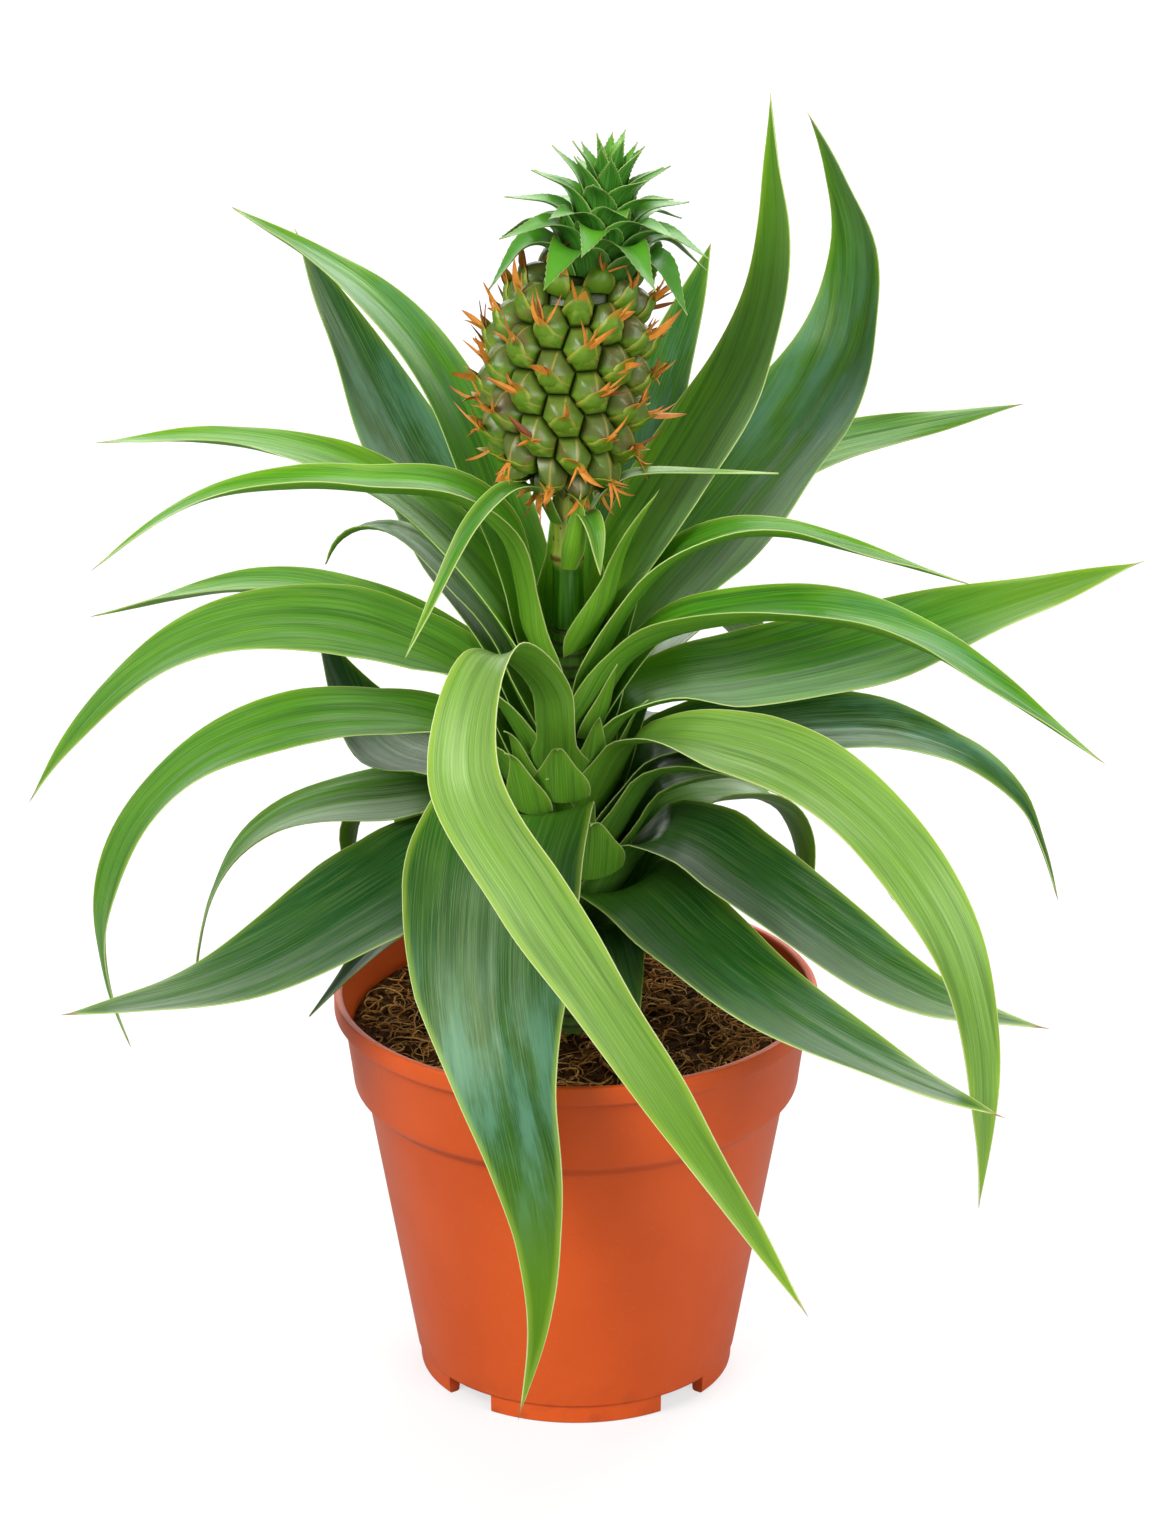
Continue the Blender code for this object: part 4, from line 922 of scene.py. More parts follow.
# How single blades, by number, lie apart from their stiff form. The terms are those of settled.
LEAF_LIES = {
    1: dict(widths=[(0, 1), (0.3, 1.1), (1, 1)]),
    6: dict(
        widths=[(0, 1.2), (0.1, 1.3), (0.22, 1.0), (0.4, 0.95), (0.6, 0.95), (1, 1)],
        shifts=[(0, 0, 0), (0.1, 0, 0), (0.22, -4, -1.5), (0.4, -5, -1), (0.6, -3, 0), (1, 0, 0)],
    ),
    7: dict(
        flat=0.4, turns=[(0.15, 0.4, 0, 0, -15)], reach=0.98,
        widths=[(0, 1), (0.12, 0.95), (0.28, 1.0), (0.45, 1.25), (1, 1.2)],
        shifts=[(0, 0, 0), (0.12, 0, -1), (0.3, -4.5, -4), (0.5, -1, -1), (1, 0, 0)],
    ),
    9: dict(
        widths=[(0, 1), (0.3, 1.1), (1, 1.1)],
        shifts=[(0, 0, 0), (0.3, 2, 0), (0.7, 0, -2), (1, 0, 0)],
    ),
    11: dict(flat=0.5, turns=[(0.15, 0.35, 0, 0, -18)], reach=1.05),
    12: dict(
        widths=[
            (0, 1), (0.3, 1.12), (0.45, 1.05), (0.55, 0.85), (0.65, 0.68), (0.75, 0.55), (0.85, 0.5),
            (1, 0.5),
        ],
        shifts=[
            (0, -3, 0), (0.06, -5, 0), (0.12, -7, 0), (0.28, -8.5, 0), (0.42, -5, 0), (0.55, 2, 0),
            (0.65, 7, 0), (0.76, 10, 0), (0.88, 9, 0), (1, 3, 0),
        ],
    ),
    13: dict(shifts=[(0, 0, 0), (0.15, 0, -3), (0.35, 0, -3.5), (0.6, 0, 0), (1, 0, 0)]),
    14: dict(
        widths=[(0, 1), (0.18, 1.1), (0.38, 1.6), (0.6, 1.8), (1, 1.3)],
        shifts=[(0, 0, 0), (0.18, 0, 0), (0.38, 3, -4), (0.6, 5, -6), (0.85, 2, -2), (1, 0, 0)],
    ),
    15: dict(shifts=[(0, 0, 0), (0.15, 0, -2), (0.3, 0, -1.5), (0.6, 0, 0), (1, 0, 0)]),
    17: dict(
        widths=[(0, 1), (0.4, 1), (0.55, 0.7), (0.65, 0.45), (0.85, 0.45), (1, 0.6)],
        shifts=[(0, 0, 0), (0.3, 0, -2), (0.5, 0, -5), (0.65, 0, -7), (0.85, 0, -3), (1, 0, 0)],
    ),
    18: dict(
        flat=0.75, turns=[(0.12, 0.4, 0, 0, -30)],
        widths=[(0, 1), (0.3, 0.74), (1, 0.78)],
        shifts=[(0, 0, 0), (0.2, 0, -1), (0.45, 0, -5), (0.75, 0, -3), (1, 0, 0)],
    ),
    20: dict(
        flat=0.6, turns=[(0.10, 0.3, 0, 0, 18)],
        widths=[(0, 0.5), (0.08, 0.45), (0.16, 0.6), (0.3, 0.74), (0.5, 0.72), (0.75, 0.74), (1, 0.8)],
        shifts=[
            (0, 0, 0), (0.15, 0, 0), (0.3, 1.5, 0), (0.5, 3, 0), (0.7, 6.5, 0), (0.85, 8, 0), (1, 8, 1),
        ],
    ),
    21: dict(
        turns=[(0.1, 0.4, -5, 0, 0)],
        widths=[(0, 1), (0.5, 1), (0.8, 1.3), (1, 1.2)],
        shifts=[(0, 0, 0), (0.4, 0, -3), (0.7, 0, -2), (1, 0, 0)],
    ),
    22: dict(
        widths=[(0, 1), (0.05, 0.5), (0.15, 0.45), (0.25, 0.58), (0.45, 0.72), (0.8, 0.85), (1, 1)],
        shifts=[
            (0, 0, 0), (0.06, 3, -1), (0.14, 7, -2), (0.22, 5, -4), (0.33, 1, -3), (0.45, 0, -1.5),
            (0.6, 0, 0), (1, 0, 0),
        ],
    ),
    24: dict(flat=0.75, turns=[(0.12, 0.4, 0, 0, -30)], widths=[(0, 1), (0.3, 0.88), (1, 0.85)]),
    25: dict(
        flat=0.5,
        widths=[(0, 1), (0.3, 1.3), (1, 1.15)],
        shifts=[(0, 0, 0), (0.5, 0, 0), (1, 0, -4)],
    ),
    26: dict(widths=[(0, 1), (0.3, 1.15), (1, 1.1)]),
    27: dict(
        flat=0.8, turns=[(0.12, 0.4, 0, 0, 28)],
        widths=[(0, 1), (0.3, 1.0), (1, 1.1)],
        shifts=[(0, 0, 0), (0.5, 0, 1), (1, 0, 1)],
    ),
    29: dict(
        widths=[(0, 1), (0.25, 1.7), (0.5, 1.5), (0.7, 1.2), (1, 1)],
        shifts=[(0, 0, 0), (0.25, -3, 0), (0.5, -3, 0), (0.8, 0, 0), (1, 0, 0)],
    ),
    30: dict(shifts=[(0, 0, 0), (0.2, 0, -2), (0.35, 0, -5), (0.5, 0, -4), (0.7, 0, 1), (1, 0, 6)]),
    32: dict(
        reach=0.98,
        widths=[(0, 1), (0.6, 1.05), (0.8, 1.35), (1, 1.2)],
        shifts=[(0, 0, 0), (0.6, 0, 0), (0.82, 0, 2.5), (1, 0, 1)],
    ),
    34: dict(
        widths=[(0, 1), (0.3, 0.8), (1, 0.9)],
        shifts=[(0, 0, 0), (0.3, 0, 2), (0.6, 0, 3), (1, 0, 1)],
    ),
    35: dict(
        reach=0.94,
        shifts=[
            (0, 0, 0), (0.3, 0, -1), (0.42, 0, -2.5), (0.5, 0, -1), (0.64, 0, 6.5), (0.83, 0, 11),
            (1, 0, 1.5),
        ],
    ),
    36: dict(widths=[(0, 1), (0.3, 1.25), (1, 1.1)]),
    37: dict(reach=0.75),
    38: dict(reach=0.75),
}
for number, looks in enumerate(LEAF_LOOKS, 1):
    lie = LEAF_LIES.get(number, {})
    leaf_piece(f"blade_{number:02d}", f"leaf_{number:02d}", strap, "leaf_green", looks, seed=number, **lie)

# Small clasping leaves that fill the heart: azimuth, in degrees; distance from the stem's axis, height of the
# foot, length and width, in millimetres; and the slope of the tip, in degrees.
HEART_LEAVES = [
    (-118, 25, 181, 25, 15, 5), (-96, 24, 185, 24, 18, -15), (-78, 30, 164, 26, 22, -30),
    (-100, 15, 168, 30, 17, -5), (-140, 12, 176, 32, 15, 15), (-66, 13, 184, 30, 13, 20),
    (-15, 11, 182, 30, 14, 30), (-110, 10, 194, 27, 11, 50), (-45, 10, 198, 27, 11, 55),
    (10, 10, 202, 25, 10, 60),
]
heart = Batch()
heart_rng = random.Random(3)
for azimuth, away, foot, length, width, tip_slope in HEART_LEAVES:
    turn = math.radians(azimuth)
    start = (STEM_X + away * MM * math.cos(turn), away * MM * math.sin(turn), foot * MM)
    short_leaf(
        heart, Matrix.Identity(3), start, turn, length * MM, width * MM, slopes=(70, tip_slope),
        bend=(0.9, 0.42), swing=heart_rng.uniform(-0.5, 0.5), hollow=(0.42, 0.1),
        age=heart_rng.uniform(0.3, 0.6), bleach=heart_rng.uniform(0.1, 0.5), cloud=0.0, pale=0.5, tip=0.0,
    )
heart.piece("heart_leaves", strap, 60, "leaf_green", kinds={"lay": "FLOAT_VECTOR"})


# ---- Stalk ----
# The fruit's stalk rises from the heart of the rosette: smooth green tissue, swollen at one node, where the
# remains of dried scales leave a brown ring.

STALK_NODE = 250 * MM
STALK_STEPS = 45
STALK_LEAN = 1 * MM
NODE_SWELL = 0.7 * MM
stalk_low, stalk_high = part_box("stalk")
stalk_length = stalk_high.z - stalk_low.z
profile = [(0, stalk_low.z)]
for i in range(STALK_STEPS + 1):
    z = stalk_low.z + stalk_length * i / STALK_STEPS
    swell = NODE_SWELL * math.exp(-(((z - STALK_NODE) / (2 * MM)) ** 2))
    profile.append(((4.6 - (z - stalk_low.z) / stalk_length) * MM + swell, z))
points, faces = lathe(profile + [(0, stalk_high.z)], 40)
leant = [(x + STEM_X - STALK_LEAN * (z - stalk_low.z) / stalk_length, y, z) for x, y, z in points]
green_stalk, tree, shader = new_material("green_stalk", roughness=0.42, specular=0.5)
place = place_on_plant(tree)
height = node(tree, "ShaderNodeSeparateXYZ", {0: place}).outputs[2]
upright = node(tree, "ShaderNodeMapping", {"Vector": place, "Scale": (900, 900, 40)}).outputs[0]
streaks = noise(tree, upright, 1.0, 3)
colour = blend_colours(tree, ramp(tree, streaks, 0.35, 0.7), (0.014, 0.080, 0.001), (0.045, 0.16, 0.002))
above = blend_colours(tree, ramp(tree, streaks, 0.35, 0.7), (0.30, 0.42, 0.035), (0.42, 0.50, 0.08))
colour = blend_colours(tree, ramp(tree, height, STALK_NODE - 4 * MM, STALK_NODE + 1 * MM), colour, above)
over_node = ramp(tree, height, STALK_NODE - 2 * MM, STALK_NODE + 4 * MM)
scars = times(tree, ramp(tree, noise(tree, place, 230, 3), 0.60, 0.66), over_node)
colour = blend_colours(tree, scars, colour, (0.20, 0.085, 0.02))
near_node = maths(tree, "ABSOLUTE", maths(tree, "SUBTRACT", height, STALK_NODE))
wobble = times(tree, noise(tree, place, 300, 3), 0.0022)
ring = ramp(tree, maths(tree, "ADD", near_node, wobble), 0.0026, 0.0013)
colour = blend_colours(tree, ring, colour, (0.13, 0.055, 0.014))
paint(tree, shader, colour)
bump(tree, shader, streaks, 0.25, 0.0004)
new_piece("fruit_stalk", leant, faces, green_stalk, 60, ["stalk"])


# ---- Stalk leaves ----
# Narrow young leaves that grow from the stalk and from under the fruit, thin and bright. They hardly wave and
# clasp nothing; otherwise they are made as the blades are.

STALK_LEAF_AGES = (0.0, 0.25, 0.6, 0.5)
STALK_LEAF_LIES = {1: dict(widths=[(0, 0.55), (0.5, 0.65), (1, 0.8)], shifts=[(0, 1.5, -1), (1, 7, 0)])}
for number, old in enumerate(STALK_LEAF_AGES, 1):
    leaf_piece(
        f"stalk_blade_{number}", f"stalk_leaf_{number}", strap, "stalk_leaf_green", (old, 0.1, 0.2, 0.6, 0),
        seed=60 + number, row_step=1.6 * MM, wave=0.1 * MM, crease=0.0, clasps=False,
        **STALK_LEAF_LIES.get(number, {}),
    )


# ---- Fruit ----
# The young fruit is one fused body of eyes set on crossing spirals. Each eye is a low mound of three sepals,
# grey with bloom, over a pointed green bract, and holds the dried orange petals of its flower.

FRUIT_LEAN = math.radians(8)
FRUIT_HEIGHT = 62 * MM
FRUIT_RADIUS = 20.2 * MM
FRUIT_BULGE = 4 * MM
FRUIT_CORE_DEPTH = 2.6 * MM
OUTLINE_STEPS = 400
EYES = 88
EYE_HEIGHT = 4.5 * MM
EYE_GROOVE = 1.3 * MM
EYE_REACH = 5.2 * MM
END_EYE_REACH = 4.6 * MM
LEAST_GIRTH = 7 * MM
GOLDEN_ANGLE = math.pi * (3 - math.sqrt(5))
fruit_foot = Vector((STEM_X - STALK_LEAN, 0, stalk_high.z + 0.3 * MM))
fruit_place = Matrix.Translation(fruit_foot) @ Matrix.Rotation(FRUIT_LEAN, 4, "Y")
SKIN_TURN = math.pi * 0.5 * FRUIT_HEIGHT


def fruit_outline(share):
    """Radius and height at a share of the way round the outline, from the foot to the crown."""
    angle = math.pi * min(1.0, max(0.0, share))
    radius = FRUIT_RADIUS * math.sin(angle) ** 0.62 * (1.05 - 0.13 * share)
    return radius, FRUIT_HEIGHT * (1 - math.cos(angle)) / 2


def on_fruit(azimuth, share, lift):
    """A point on the fruit's skin, in its own frame, raised by lift."""
    radius, height = fruit_outline(share)
    ahead, back = fruit_outline(share + 0.01), fruit_outline(share - 0.01)
    outward = Vector((ahead[1] - back[1], 0, back[0] - ahead[0])).normalized()
    point = Vector((radius, 0, height)) + outward * lift
    point.rotate(Matrix.Rotation(azimuth, 3, "Z"))
    point.x -= FRUIT_BULGE * math.sin(math.pi * min(1.0, max(0.0, share)))
    return point


outline = [fruit_outline(i / OUTLINE_STEPS) for i in range(OUTLINE_STEPS + 1)]
reach = np.concatenate([[0], np.cumsum([math.dist(a, b) for a, b in zip(outline, outline[1:])])])
outline_shares = np.linspace(0, 1, OUTLINE_STEPS + 1)
eyes = []
for eye in range(EYES):
    wanted = reach[-1] * (0.03 + 0.94 * eye / (EYES - 1))
    eyes.append((eye * GOLDEN_ANGLE, float(np.interp(wanted, reach, outline_shares))))


def near_turn(angle, other):
    """The angle, less the whole turns that part it from the other."""
    return angle - 2 * math.pi * round((angle - other) / (2 * math.pi))


# an eye's neighbours on the crossing spirals come 5, 8 and 13 eyes later; three eyes meet at each corner
corners = {}
for first in range(EYES - 13):
    for middle in (5, 8):
        trio = [eyes[first], eyes[first + middle], eyes[first + 13]]
        turn = sum(near_turn(azimuth, trio[0][0]) for azimuth, _ in trio) / 3
        corners[first, middle] = (turn, sum(share for _, share in trio) / 3)


def eye_rim(eye):
    """The six corners round an eye, in metres from its middle: round the fruit, and up its skin."""
    azimuth, share = eyes[eye]
    girth = fruit_outline(share)[0]
    found = []
    for key in ((eye, 5), (eye, 8), (eye - 5, 5), (eye - 13, 5), (eye - 13, 8), (eye - 8, 8)):
        if key in corners:
            turn, height = corners[key]
            found.append(((near_turn(turn, azimuth) - azimuth) * girth, (height - share) * SKIN_TURN))
    if len(found) < 6:
        turns = [math.pi * k / 3 for k in range(6)]
        found = [(END_EYE_REACH * math.cos(turn), END_EYE_REACH * math.sin(turn)) for turn in turns]
    return sorted(found, key=lambda spot: math.atan2(spot[1], spot[0]))


SEPAL_LINES = (math.radians(90), math.radians(208), math.radians(332))


def mound(reached, direction):
    """Lift of an eye's skin at a share of the way from its middle to its groove, and a direction round it."""
    dome = max(0.0, 1 - reached**1.9) ** 0.66
    turns = [math.remainder(direction - at, 2 * math.pi) for at in SEPAL_LINES]
    near_line = sum(math.exp(-((turn / 0.15) ** 2)) for turn in turns)
    crease = 0.3 * MM * near_line * math.sin(math.pi * min(1.0, reached))
    nib = 0.7 * MM * max(0.0, 1 - reached / 0.25)
    return -EYE_GROOVE + (EYE_HEIGHT + EYE_GROOVE) * dome - crease + nib


def eye_girth(share):
    """The fruit's radius under an eye, with a least value, so that the end eyes keep their width."""
    return max(LEAST_GIRTH, fruit_outline(share)[0])


core = [(max(0.1 * MM, radius - FRUIT_CORE_DEPTH), height) for radius, height in outline[16:-16:8]]
points, faces = lathe([(0, 0)] + core + [(0, FRUIT_HEIGHT)], 48)
bulged = []
for x, y, z in points:
    share = math.acos(max(-1.0, min(1.0, 1 - 2 * z / FRUIT_HEIGHT))) / math.pi
    bulged.append(fruit_place @ Vector((x - FRUIT_BULGE * math.sin(math.pi * share), y, z)))
skin = Batch()
skin.add(bulged, faces, spot=[(0, 0, 1)] * len(bulged), eye_tone=0.0)
EDGE_STEPS = 4
RING_SHARES = (0.1, 0.22, 0.36, 0.5, 0.63, 0.75, 0.85, 0.93, 1.0)
fruit_rng = random.Random(5)
for eye, (azimuth, share) in enumerate(eyes):
    girth = eye_girth(share)
    rim = []
    spots = eye_rim(eye)
    for a, b in zip(spots, spots[1:] + spots[:1]):
        for i in range(EDGE_STEPS):
            rim.append([p + (q - p) * i / EDGE_STEPS for p, q in zip(a, b)])
    count = len(rim)
    points, faces, spot = [on_fruit(azimuth, share, mound(0, 0))], [], [(0, 0, 0)]
    for ring, reached in enumerate(RING_SHARES):
        for k, (x, y) in enumerate(rim):
            lift = mound(reached, math.atan2(y, x))
            points.append(on_fruit(azimuth + x * reached / girth, share + y * reached / SKIN_TURN, lift))
            spot.append((x * reached / MM, y * reached / MM, reached))
            after = (k + 1) % count
            if ring == 0:
                faces.append((0, 1 + k, 1 + after))
            else:
                low, high = 1 + (ring - 1) * count, 1 + ring * count
                faces.append((low + k, high + k, high + after, low + after))
    skin.add([fruit_place @ p for p in points], faces, spot=spot, eye_tone=fruit_rng.uniform(0, 1))


def extent(tree, vector, direction):
    """How far the vector reaches in the direction."""
    made = node(tree, "ShaderNodeVectorMath", {0: vector, 1: direction}, operation="DOT_PRODUCT")
    return made.outputs["Value"]


rind, tree, shader = new_material("eye_rind", roughness=0.38, coat=0.15, coat_roughness=0.3, specular=0.45)
place = place_on_plant(tree)
spot, eye_tone = value_of(tree, "spot", "Vector"), value_of(tree, "eye_tone")
parts = node(tree, "ShaderNodeSeparateXYZ", {0: spot}).outputs
blotch = noise(tree, place, 380, 3)
colour = blend_colours(tree, ramp(tree, blotch, 0.3, 0.7), (0.080, 0.200, 0.004), (0.165, 0.280, 0.014))
height = maths(tree, "ADD", parts[1], times(tree, blotch, 2.0))
bloom = times(tree, ramp(tree, height, 0.2, 2.6), ramp(tree, eye_tone, 0.0, 1.0, 0.55, 1.0))
colour = blend_colours(tree, times(tree, bloom, 0.85), colour, (0.088, 0.108, 0.024))
rosy = times(tree, ramp(tree, noise(tree, place, 170, 2), 0.50, 0.66), 0.5)
colour = blend_colours(tree, rosy, colour, (0.155, 0.075, 0.026))
for at in SEPAL_LINES:
    beside = maths(tree, "ABSOLUTE", extent(tree, spot, (math.sin(at), -math.cos(at), 0)))
    outward = extent(tree, spot, (math.cos(at), math.sin(at), 0))
    line = times(tree, ramp(tree, beside, 0.42, 0.05), ramp(tree, outward, 0.0, 0.8))
    colour = blend_colours(tree, times(tree, line, 0.75), colour, (0.36, 0.26, 0.05))
colour = blend_colours(tree, times(tree, ramp(tree, parts[2], 0.24, 0.0), 0.8), colour, (0.46, 0.28, 0.06))
# painted shade: each eye darkens to near black towards its rim, in the grooves between the eyes
colour = blend_colours(tree, ramp(tree, parts[2], 0.82, 1.0), colour, (0.035, 0.060, 0.004))
paint(tree, shader, colour)
bump(tree, shader, maths(tree, "ADD", blotch, noise(tree, place, 1600, 2)), 0.25, 0.0003)
skin.piece("fruit_skin", rind, 50, "fruit_skin", ["fruit"], {"spot": "FLOAT_VECTOR"})


def eye_point(azimuth, share, x, y, lift):
    """A point over an eye: x round the fruit, y up its skin, lift above the eye's own surface."""
    reached = min(1.0, math.hypot(x, y) / EYE_REACH)
    lift += mound(reached, math.atan2(y, x))
    return on_fruit(azimuth + x / eye_girth(share), share + y / SKIN_TURN, lift)


PETAL_STEPS = 9
PETAL_BEND = 4.2 * MM


def petal(root, direction, bend, side, length, width, thickness):
    """A thin closed tongue that tapers to a point and curves by bend."""
    points, faces = [], []
    for i in range(PETAL_STEPS):
        t = i / PETAL_STEPS
        middle = root + direction * length * t + bend * t * t
        half = width / 2 * (math.sin(math.pi * min(1, 0.3 + 0.7 * t)) ** 0.8)
        normal = (direction + bend * (2 * t / length)).normalized().cross(side).normalized()
        cup = normal * half * 0.5
        out, up = side * half, normal * thickness / 2
        points += [middle - out + cup, middle + up, middle + out + cup, middle - up]
    tip = len(points)
    points.append(root + direction * length + bend)
    for i in range(PETAL_STEPS - 1):
        for k in range(4):
            after = (k + 1) % 4
            faces.append((4 * i + k, 4 * i + after, 4 * i + 4 + after, 4 * i + 4 + k))
    faces += [(tip - 4 + k, tip - 4 + (k + 1) % 4, tip) for k in range(4)]
    faces.append((3, 2, 1, 0))
    return points, faces


BRACT_ROWS = 12
BRACT_COLUMNS = 7
BRACT_HALF_WIDTH = 4.1 * MM
BRACT_FOOT = -4.9 * MM
BRACT_LENGTH = 6.4 * MM
BRACT_PARTS_AT = 0.4 * MM
bracts = Batch()
flowers = Batch()
for azimuth, share in eyes:
    if share > 0.97 or share < 0.04:
        continue
    middle = on_fruit(azimuth, share, 0)
    normal = (on_fruit(azimuth, share, MM) - middle).normalized()
    rise = (on_fruit(azimuth, share + 0.02, 0) - middle).normalized()
    round_way = normal.cross(rise).normalized()
    # the bract: a pointed green scale that lies on the lower part of the eye and parts from it towards its
    # tip, longest round the fruit's shoulder
    tilt = fruit_rng.uniform(-0.2, 0.2)
    shoulder = max(0.0, share - 0.72) / 0.28
    long = fruit_rng.uniform(1.0, 1.55) + 0.5 * shoulder
    top, bottom = [], []
    for i in range(BRACT_ROWS):
        t = i / (BRACT_ROWS - 1)
        half = BRACT_HALF_WIDTH * (1 - t**1.5) + 0.1 * MM
        y = BRACT_FOOT + t * BRACT_LENGTH * long
        free = max(0.0, t - 0.62) / 0.38
        for j in range(BRACT_COLUMNS):
            u = -1 + 2 * j / (BRACT_COLUMNS - 1)
            x = half * u + (y - BRACT_FOOT) * tilt
            seated = min(y, BRACT_PARTS_AT) + u * u * 0.8 * MM * (1 - t)
            raised = free**1.5 * (1.6 + 1.2 * long) * MM + (1 - u * u) * 0.35 * MM * (1 - t)
            surface = eye_point(azimuth, share, x, seated, 0.2 * MM)
            surface += rise * max(0.0, y - BRACT_PARTS_AT) + normal * raised
            top.append(fruit_place @ (surface + normal * 0.16 * MM))
            bottom.append(fruit_place @ (surface - normal * 0.14 * MM))
    points, faces = sheet(top, bottom, BRACT_ROWS, BRACT_COLUMNS)
    across = [abs(-1 + 2 * j / (BRACT_COLUMNS - 1)) for j in range(BRACT_COLUMNS)] * BRACT_ROWS * 2
    lengthwise = [i / (BRACT_ROWS - 1) for i in range(BRACT_ROWS) for _ in range(BRACT_COLUMNS)] * 2
    bracts.add(points, faces, across=across, lengthwise=lengthwise, dried=fruit_rng.random())
    # the flower: dried petals that stand out of the eye's middle, one broad, the rest narrow
    for number in range(fruit_rng.choice((1, 3, 3, 4, 4))):
        lean = fruit_rng.uniform(-1, 1)
        direction = normal * fruit_rng.uniform(0.4, 0.95) + rise * fruit_rng.uniform(0.1, 0.9)
        direction = (direction + round_way * lean * 0.7).normalized()
        if share < 0.3:
            direction = (direction - rise * 0.8 + normal * 0.2).normalized()
        bend = rise * fruit_rng.uniform(-0.6, 1.0) + round_way * fruit_rng.uniform(-1, 1)
        bend = (bend - normal * 0.3) * PETAL_BEND
        length = fruit_rng.uniform(6.0, 11.0) * MM * (1.15 if number == 0 else 0.9)
        width = (1.9 if number == 0 else 0.9) * MM * fruit_rng.uniform(0.8, 1.25)
        aside = fruit_rng.uniform(-0.6, 0.6) * MM
        above = fruit_rng.uniform(0.0, 0.9) * MM
        root = eye_point(azimuth, share, aside, above, -0.5 * MM)
        side = direction.cross(normal + rise * 0.37).normalized()
        points, faces = petal(root, direction, bend, side, length, width, 0.35 * MM)
        lengthwise = [i // 4 / PETAL_STEPS for i in range(len(points) - 1)] + [1.0]
        flowers.add([fruit_place @ p for p in points], faces, lengthwise=lengthwise, dried=fruit_rng.random())

bract_green, tree, shader = new_material("bract_green", roughness=0.42, specular=0.45)
across, lengthwise, dried = (value_of(tree, name) for name in ("across", "lengthwise", "dried"))
place = place_on_plant(tree)
colour = blend_colours(tree, noise(tree, place, 500, 2), (0.075, 0.185, 0.004), (0.135, 0.250, 0.008))
colour = blend_colours(tree, times(tree, ramp(tree, across, 0.62, 1.0), 0.8), colour, (0.36, 0.38, 0.045))
burnt = times(tree, ramp(tree, lengthwise, 0.58, 0.92), ramp(tree, dried, 0.1, 0.6, 0.4, 1.0))
colour = blend_colours(tree, burnt, colour, (0.55, 0.21, 0.022))
paint(tree, shader, colour)
bump(tree, shader, noise(tree, place, 1400, 2), 0.2, 0.0003)
bracts.piece("eye_bracts", bract_green, 60, "fruit_skin")

dry_petal, tree, shader = new_material("dried_petal", roughness=0.55, specular=0.3)
lengthwise, dried = value_of(tree, "lengthwise"), value_of(tree, "dried")
place = place_on_plant(tree)
colour = blend_colours(tree, noise(tree, place, 700, 3), (0.50, 0.145, 0.012), (0.74, 0.32, 0.045))
colour = blend_colours(tree, ramp(tree, dried, 0.72, 0.95), colour, (0.20, 0.055, 0.014))
dark_tip = times(tree, ramp(tree, lengthwise, 0.55, 1.0), 0.6)
colour = blend_colours(tree, dark_tip, colour, (0.28, 0.075, 0.015))
paint(tree, shader, colour)
bump(tree, shader, noise(tree, place, 1200, 3), 0.3, 0.0003)
flowers.piece("dried_flowers", dry_petal, 60, "fruit_skin")


# ---- Crown ----
# A tuft of short stiff leaves on a short core: broad overlapping bases that hug it, then long points that
# curve out, the lowest over the fruit's shoulders. Their margins carry fine pale teeth.

CROWN_LEAVES = 44
CROWN_FOOT = FRUIT_HEIGHT + 0.3 * MM
CORE_RADIUS = 8 * MM
CORE_HEIGHT = 24 * MM
TOOTH = 0.26 * MM
crown = Batch()
points, faces = lathe(eased([
    (0, CROWN_FOOT),
    (CORE_RADIUS * 0.95, CROWN_FOOT),
    (CORE_RADIUS, CROWN_FOOT + CORE_HEIGHT * 0.25),
    (CORE_RADIUS * 0.7, CROWN_FOOT + CORE_HEIGHT * 0.62),
    (CORE_RADIUS * 0.3, CROWN_FOOT + CORE_HEIGHT),
    (0, CROWN_FOOT + CORE_HEIGHT + MM),
], 2 * MM), 24)
points = [fruit_place @ Vector(p) for p in points]
crown.add(points, faces, lay=[(0, 0, 0)] * len(points), edge=5.0, under=0.0, age=0.5)
crown_rng = random.Random(14)
for number in range(CROWN_LEAVES):
    share = number / (CROWN_LEAVES - 1)
    azimuth = number * GOLDEN_ANGLE + 0.9
    start = (10.6 - 8.8 * share) * MM
    foot = (start * math.cos(azimuth), start * math.sin(azimuth), CROWN_FOOT - 3.6 * MM + 25 * MM * share)
    length = (31 - 15 * share) * MM * crown_rng.uniform(0.94, 1.06)
    width = (18 - 9 * share) * MM
    slopes = (66 + 18 * share, -62 + 137 * share**0.8 + crown_rng.uniform(-9, 9))
    swing = crown_rng.uniform(-0.35, 0.35)
    age = 0.25 + 0.6 * (1 - share) + crown_rng.uniform(-0.12, 0.12)
    bend = (0.36 + 0.2 * share, 0.56)
    short_leaf(
        crown, fruit_place, foot, azimuth, length, width, slopes, bend, swing, (0.46, 0.2), TOOTH, age=age
    )

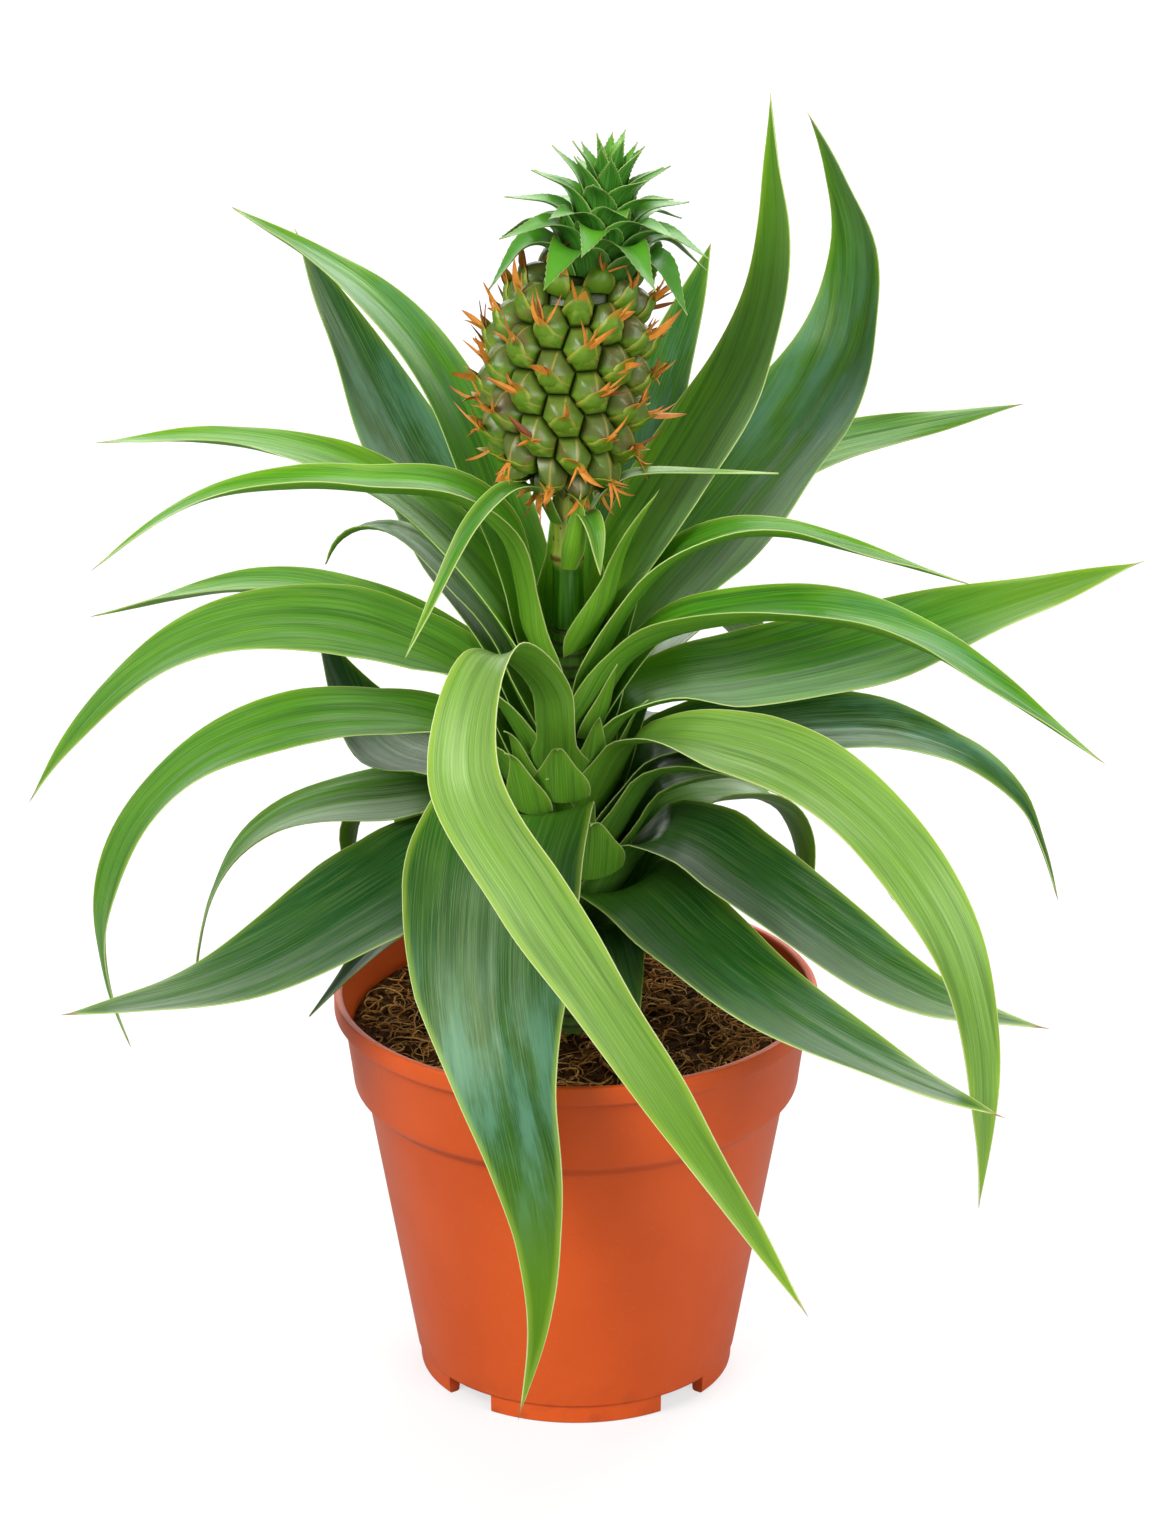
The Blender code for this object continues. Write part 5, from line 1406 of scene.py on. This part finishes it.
crown_leaf, tree, shader = new_material(
    "crown_leaf", roughness=0.4, coat=0.1, coat_roughness=0.3, specular=0.45
)
lay = value_of(tree, "lay", "Vector")
share = node(tree, "ShaderNodeSeparateXYZ", {0: lay}).outputs[2]
age, under, edge = (value_of(tree, name) for name in ("age", "under", "edge"))
place = place_on_plant(tree)
ribs = group_in(tree, ribbing, {"Lay": lay, "Fine": 3200.0, "Broad": 900.0})
colour = blend_colours(tree, age, (0.170, 0.560, 0.005), (0.040, 0.220, 0.012))
ribbed = times(tree, ramp(tree, ribs["Ribs"], 0.42, 0.66), 0.3)
colour = blend_colours(tree, ribbed, colour, (0.12, 0.32, 0.03))
waxy = times(tree, ramp(tree, noise(tree, place, 210, 3), 0.45, 0.72), ramp(tree, share, 0.2, 0.7, 0.1, 0.35))
colour = blend_colours(tree, waxy, colour, (0.13, 0.33, 0.10))
below = blend_colours(tree, ramp(tree, ribs["Ribs"], 0.4, 0.65), (0.030, 0.165, 0.010), (0.085, 0.260, 0.035))
edging = {
    "Edge": times(tree, edge, 1.9),
    "Reach": 2.0,
    "Line": (0.30, 0.42, 0.12, 1),
    "Strip": (0.09, 0.25, 0.02, 1),
}
colour, below = (group_in(tree, margin, {"Colour": face, **edging})["Colour"] for face in (colour, below))
colour = blend_colours(tree, under, colour, below)
paint(tree, shader, colour)
bump(tree, shader, ribs["Ribs"], 0.3, 0.0003)
crown.piece("crown_tuft", crown_leaf, 60, "crown_green", ["crown"], {"lay": "FLOAT_VECTOR"})


# ---- Studio ----
# A white table that runs on behind, four large soft lamps round the plant, and a camera that looks down on it
# from above its front.

bpy.ops.mesh.primitive_plane_add(size=14)
table = bpy.context.object
table.name = "table"
white, tree, shader = new_material("white_table", roughness=0.9, specular=0.1)
shader.inputs["Base Color"].default_value = (0.32, 0.32, 0.32, 1)
shader.inputs["Emission Color"].default_value = (1, 1, 1, 1)
seen = node(tree, "ShaderNodeLightPath").outputs["Is Camera Ray"]
tree.links.new(times(tree, seen, 0.65), shader.inputs["Emission Strength"])
table.data.materials.append(white)

world = bpy.data.worlds.new("studio")
bpy.context.scene.world = world
world.use_nodes = True
world.node_tree.nodes["Background"].inputs["Color"].default_value = (1, 1, 1, 1)
world.node_tree.nodes["Background"].inputs["Strength"].default_value = 0.32


def lamp(name, place, aim, size, power):
    data = bpy.data.lights.new(name, "AREA")
    data.shape = "RECTANGLE"
    data.size, data.size_y = size
    data.energy = power
    made = bpy.data.objects.new(name, data)
    made.location = place
    made.rotation_euler = (Vector(aim) - Vector(place)).to_track_quat("-Z", "Y").to_euler()
    bpy.context.scene.collection.objects.link(made)


lamp("key", (-0.9, -0.9, 1.1), (0, 0, 0.2), (0.8, 0.8), 22)
lamp("top_back", (0.35, 0.75, 1.15), (0, 0, 0.2), (1.1, 0.6), 12)
lamp("backdrop", (0, 1.7, 0.75), (0, 0, 0.3), (2.6, 1.2), 22)
lamp("fill", (0.9, -1.1, 0.8), (0, 0, 0.2), (1.0, 1.0), 15)
bpy.context.scene.view_settings.view_transform = "Standard"

CAMERA_AIM = Vector((0, 0, 0.186))
CAMERA_PITCH = math.radians(21.5)
CAMERA_DISTANCE = 1.5
lens = bpy.data.cameras.new("camera")
lens.sensor_width = 36
lens.lens = 123.5
camera = bpy.data.objects.new("camera", lens)
camera.location = CAMERA_AIM + Vector((0, -math.cos(CAMERA_PITCH), math.sin(CAMERA_PITCH))) * CAMERA_DISTANCE
camera.rotation_euler = (math.pi / 2 - CAMERA_PITCH, 0, 0)
bpy.context.scene.collection.objects.link(camera)
bpy.context.scene.camera = camera
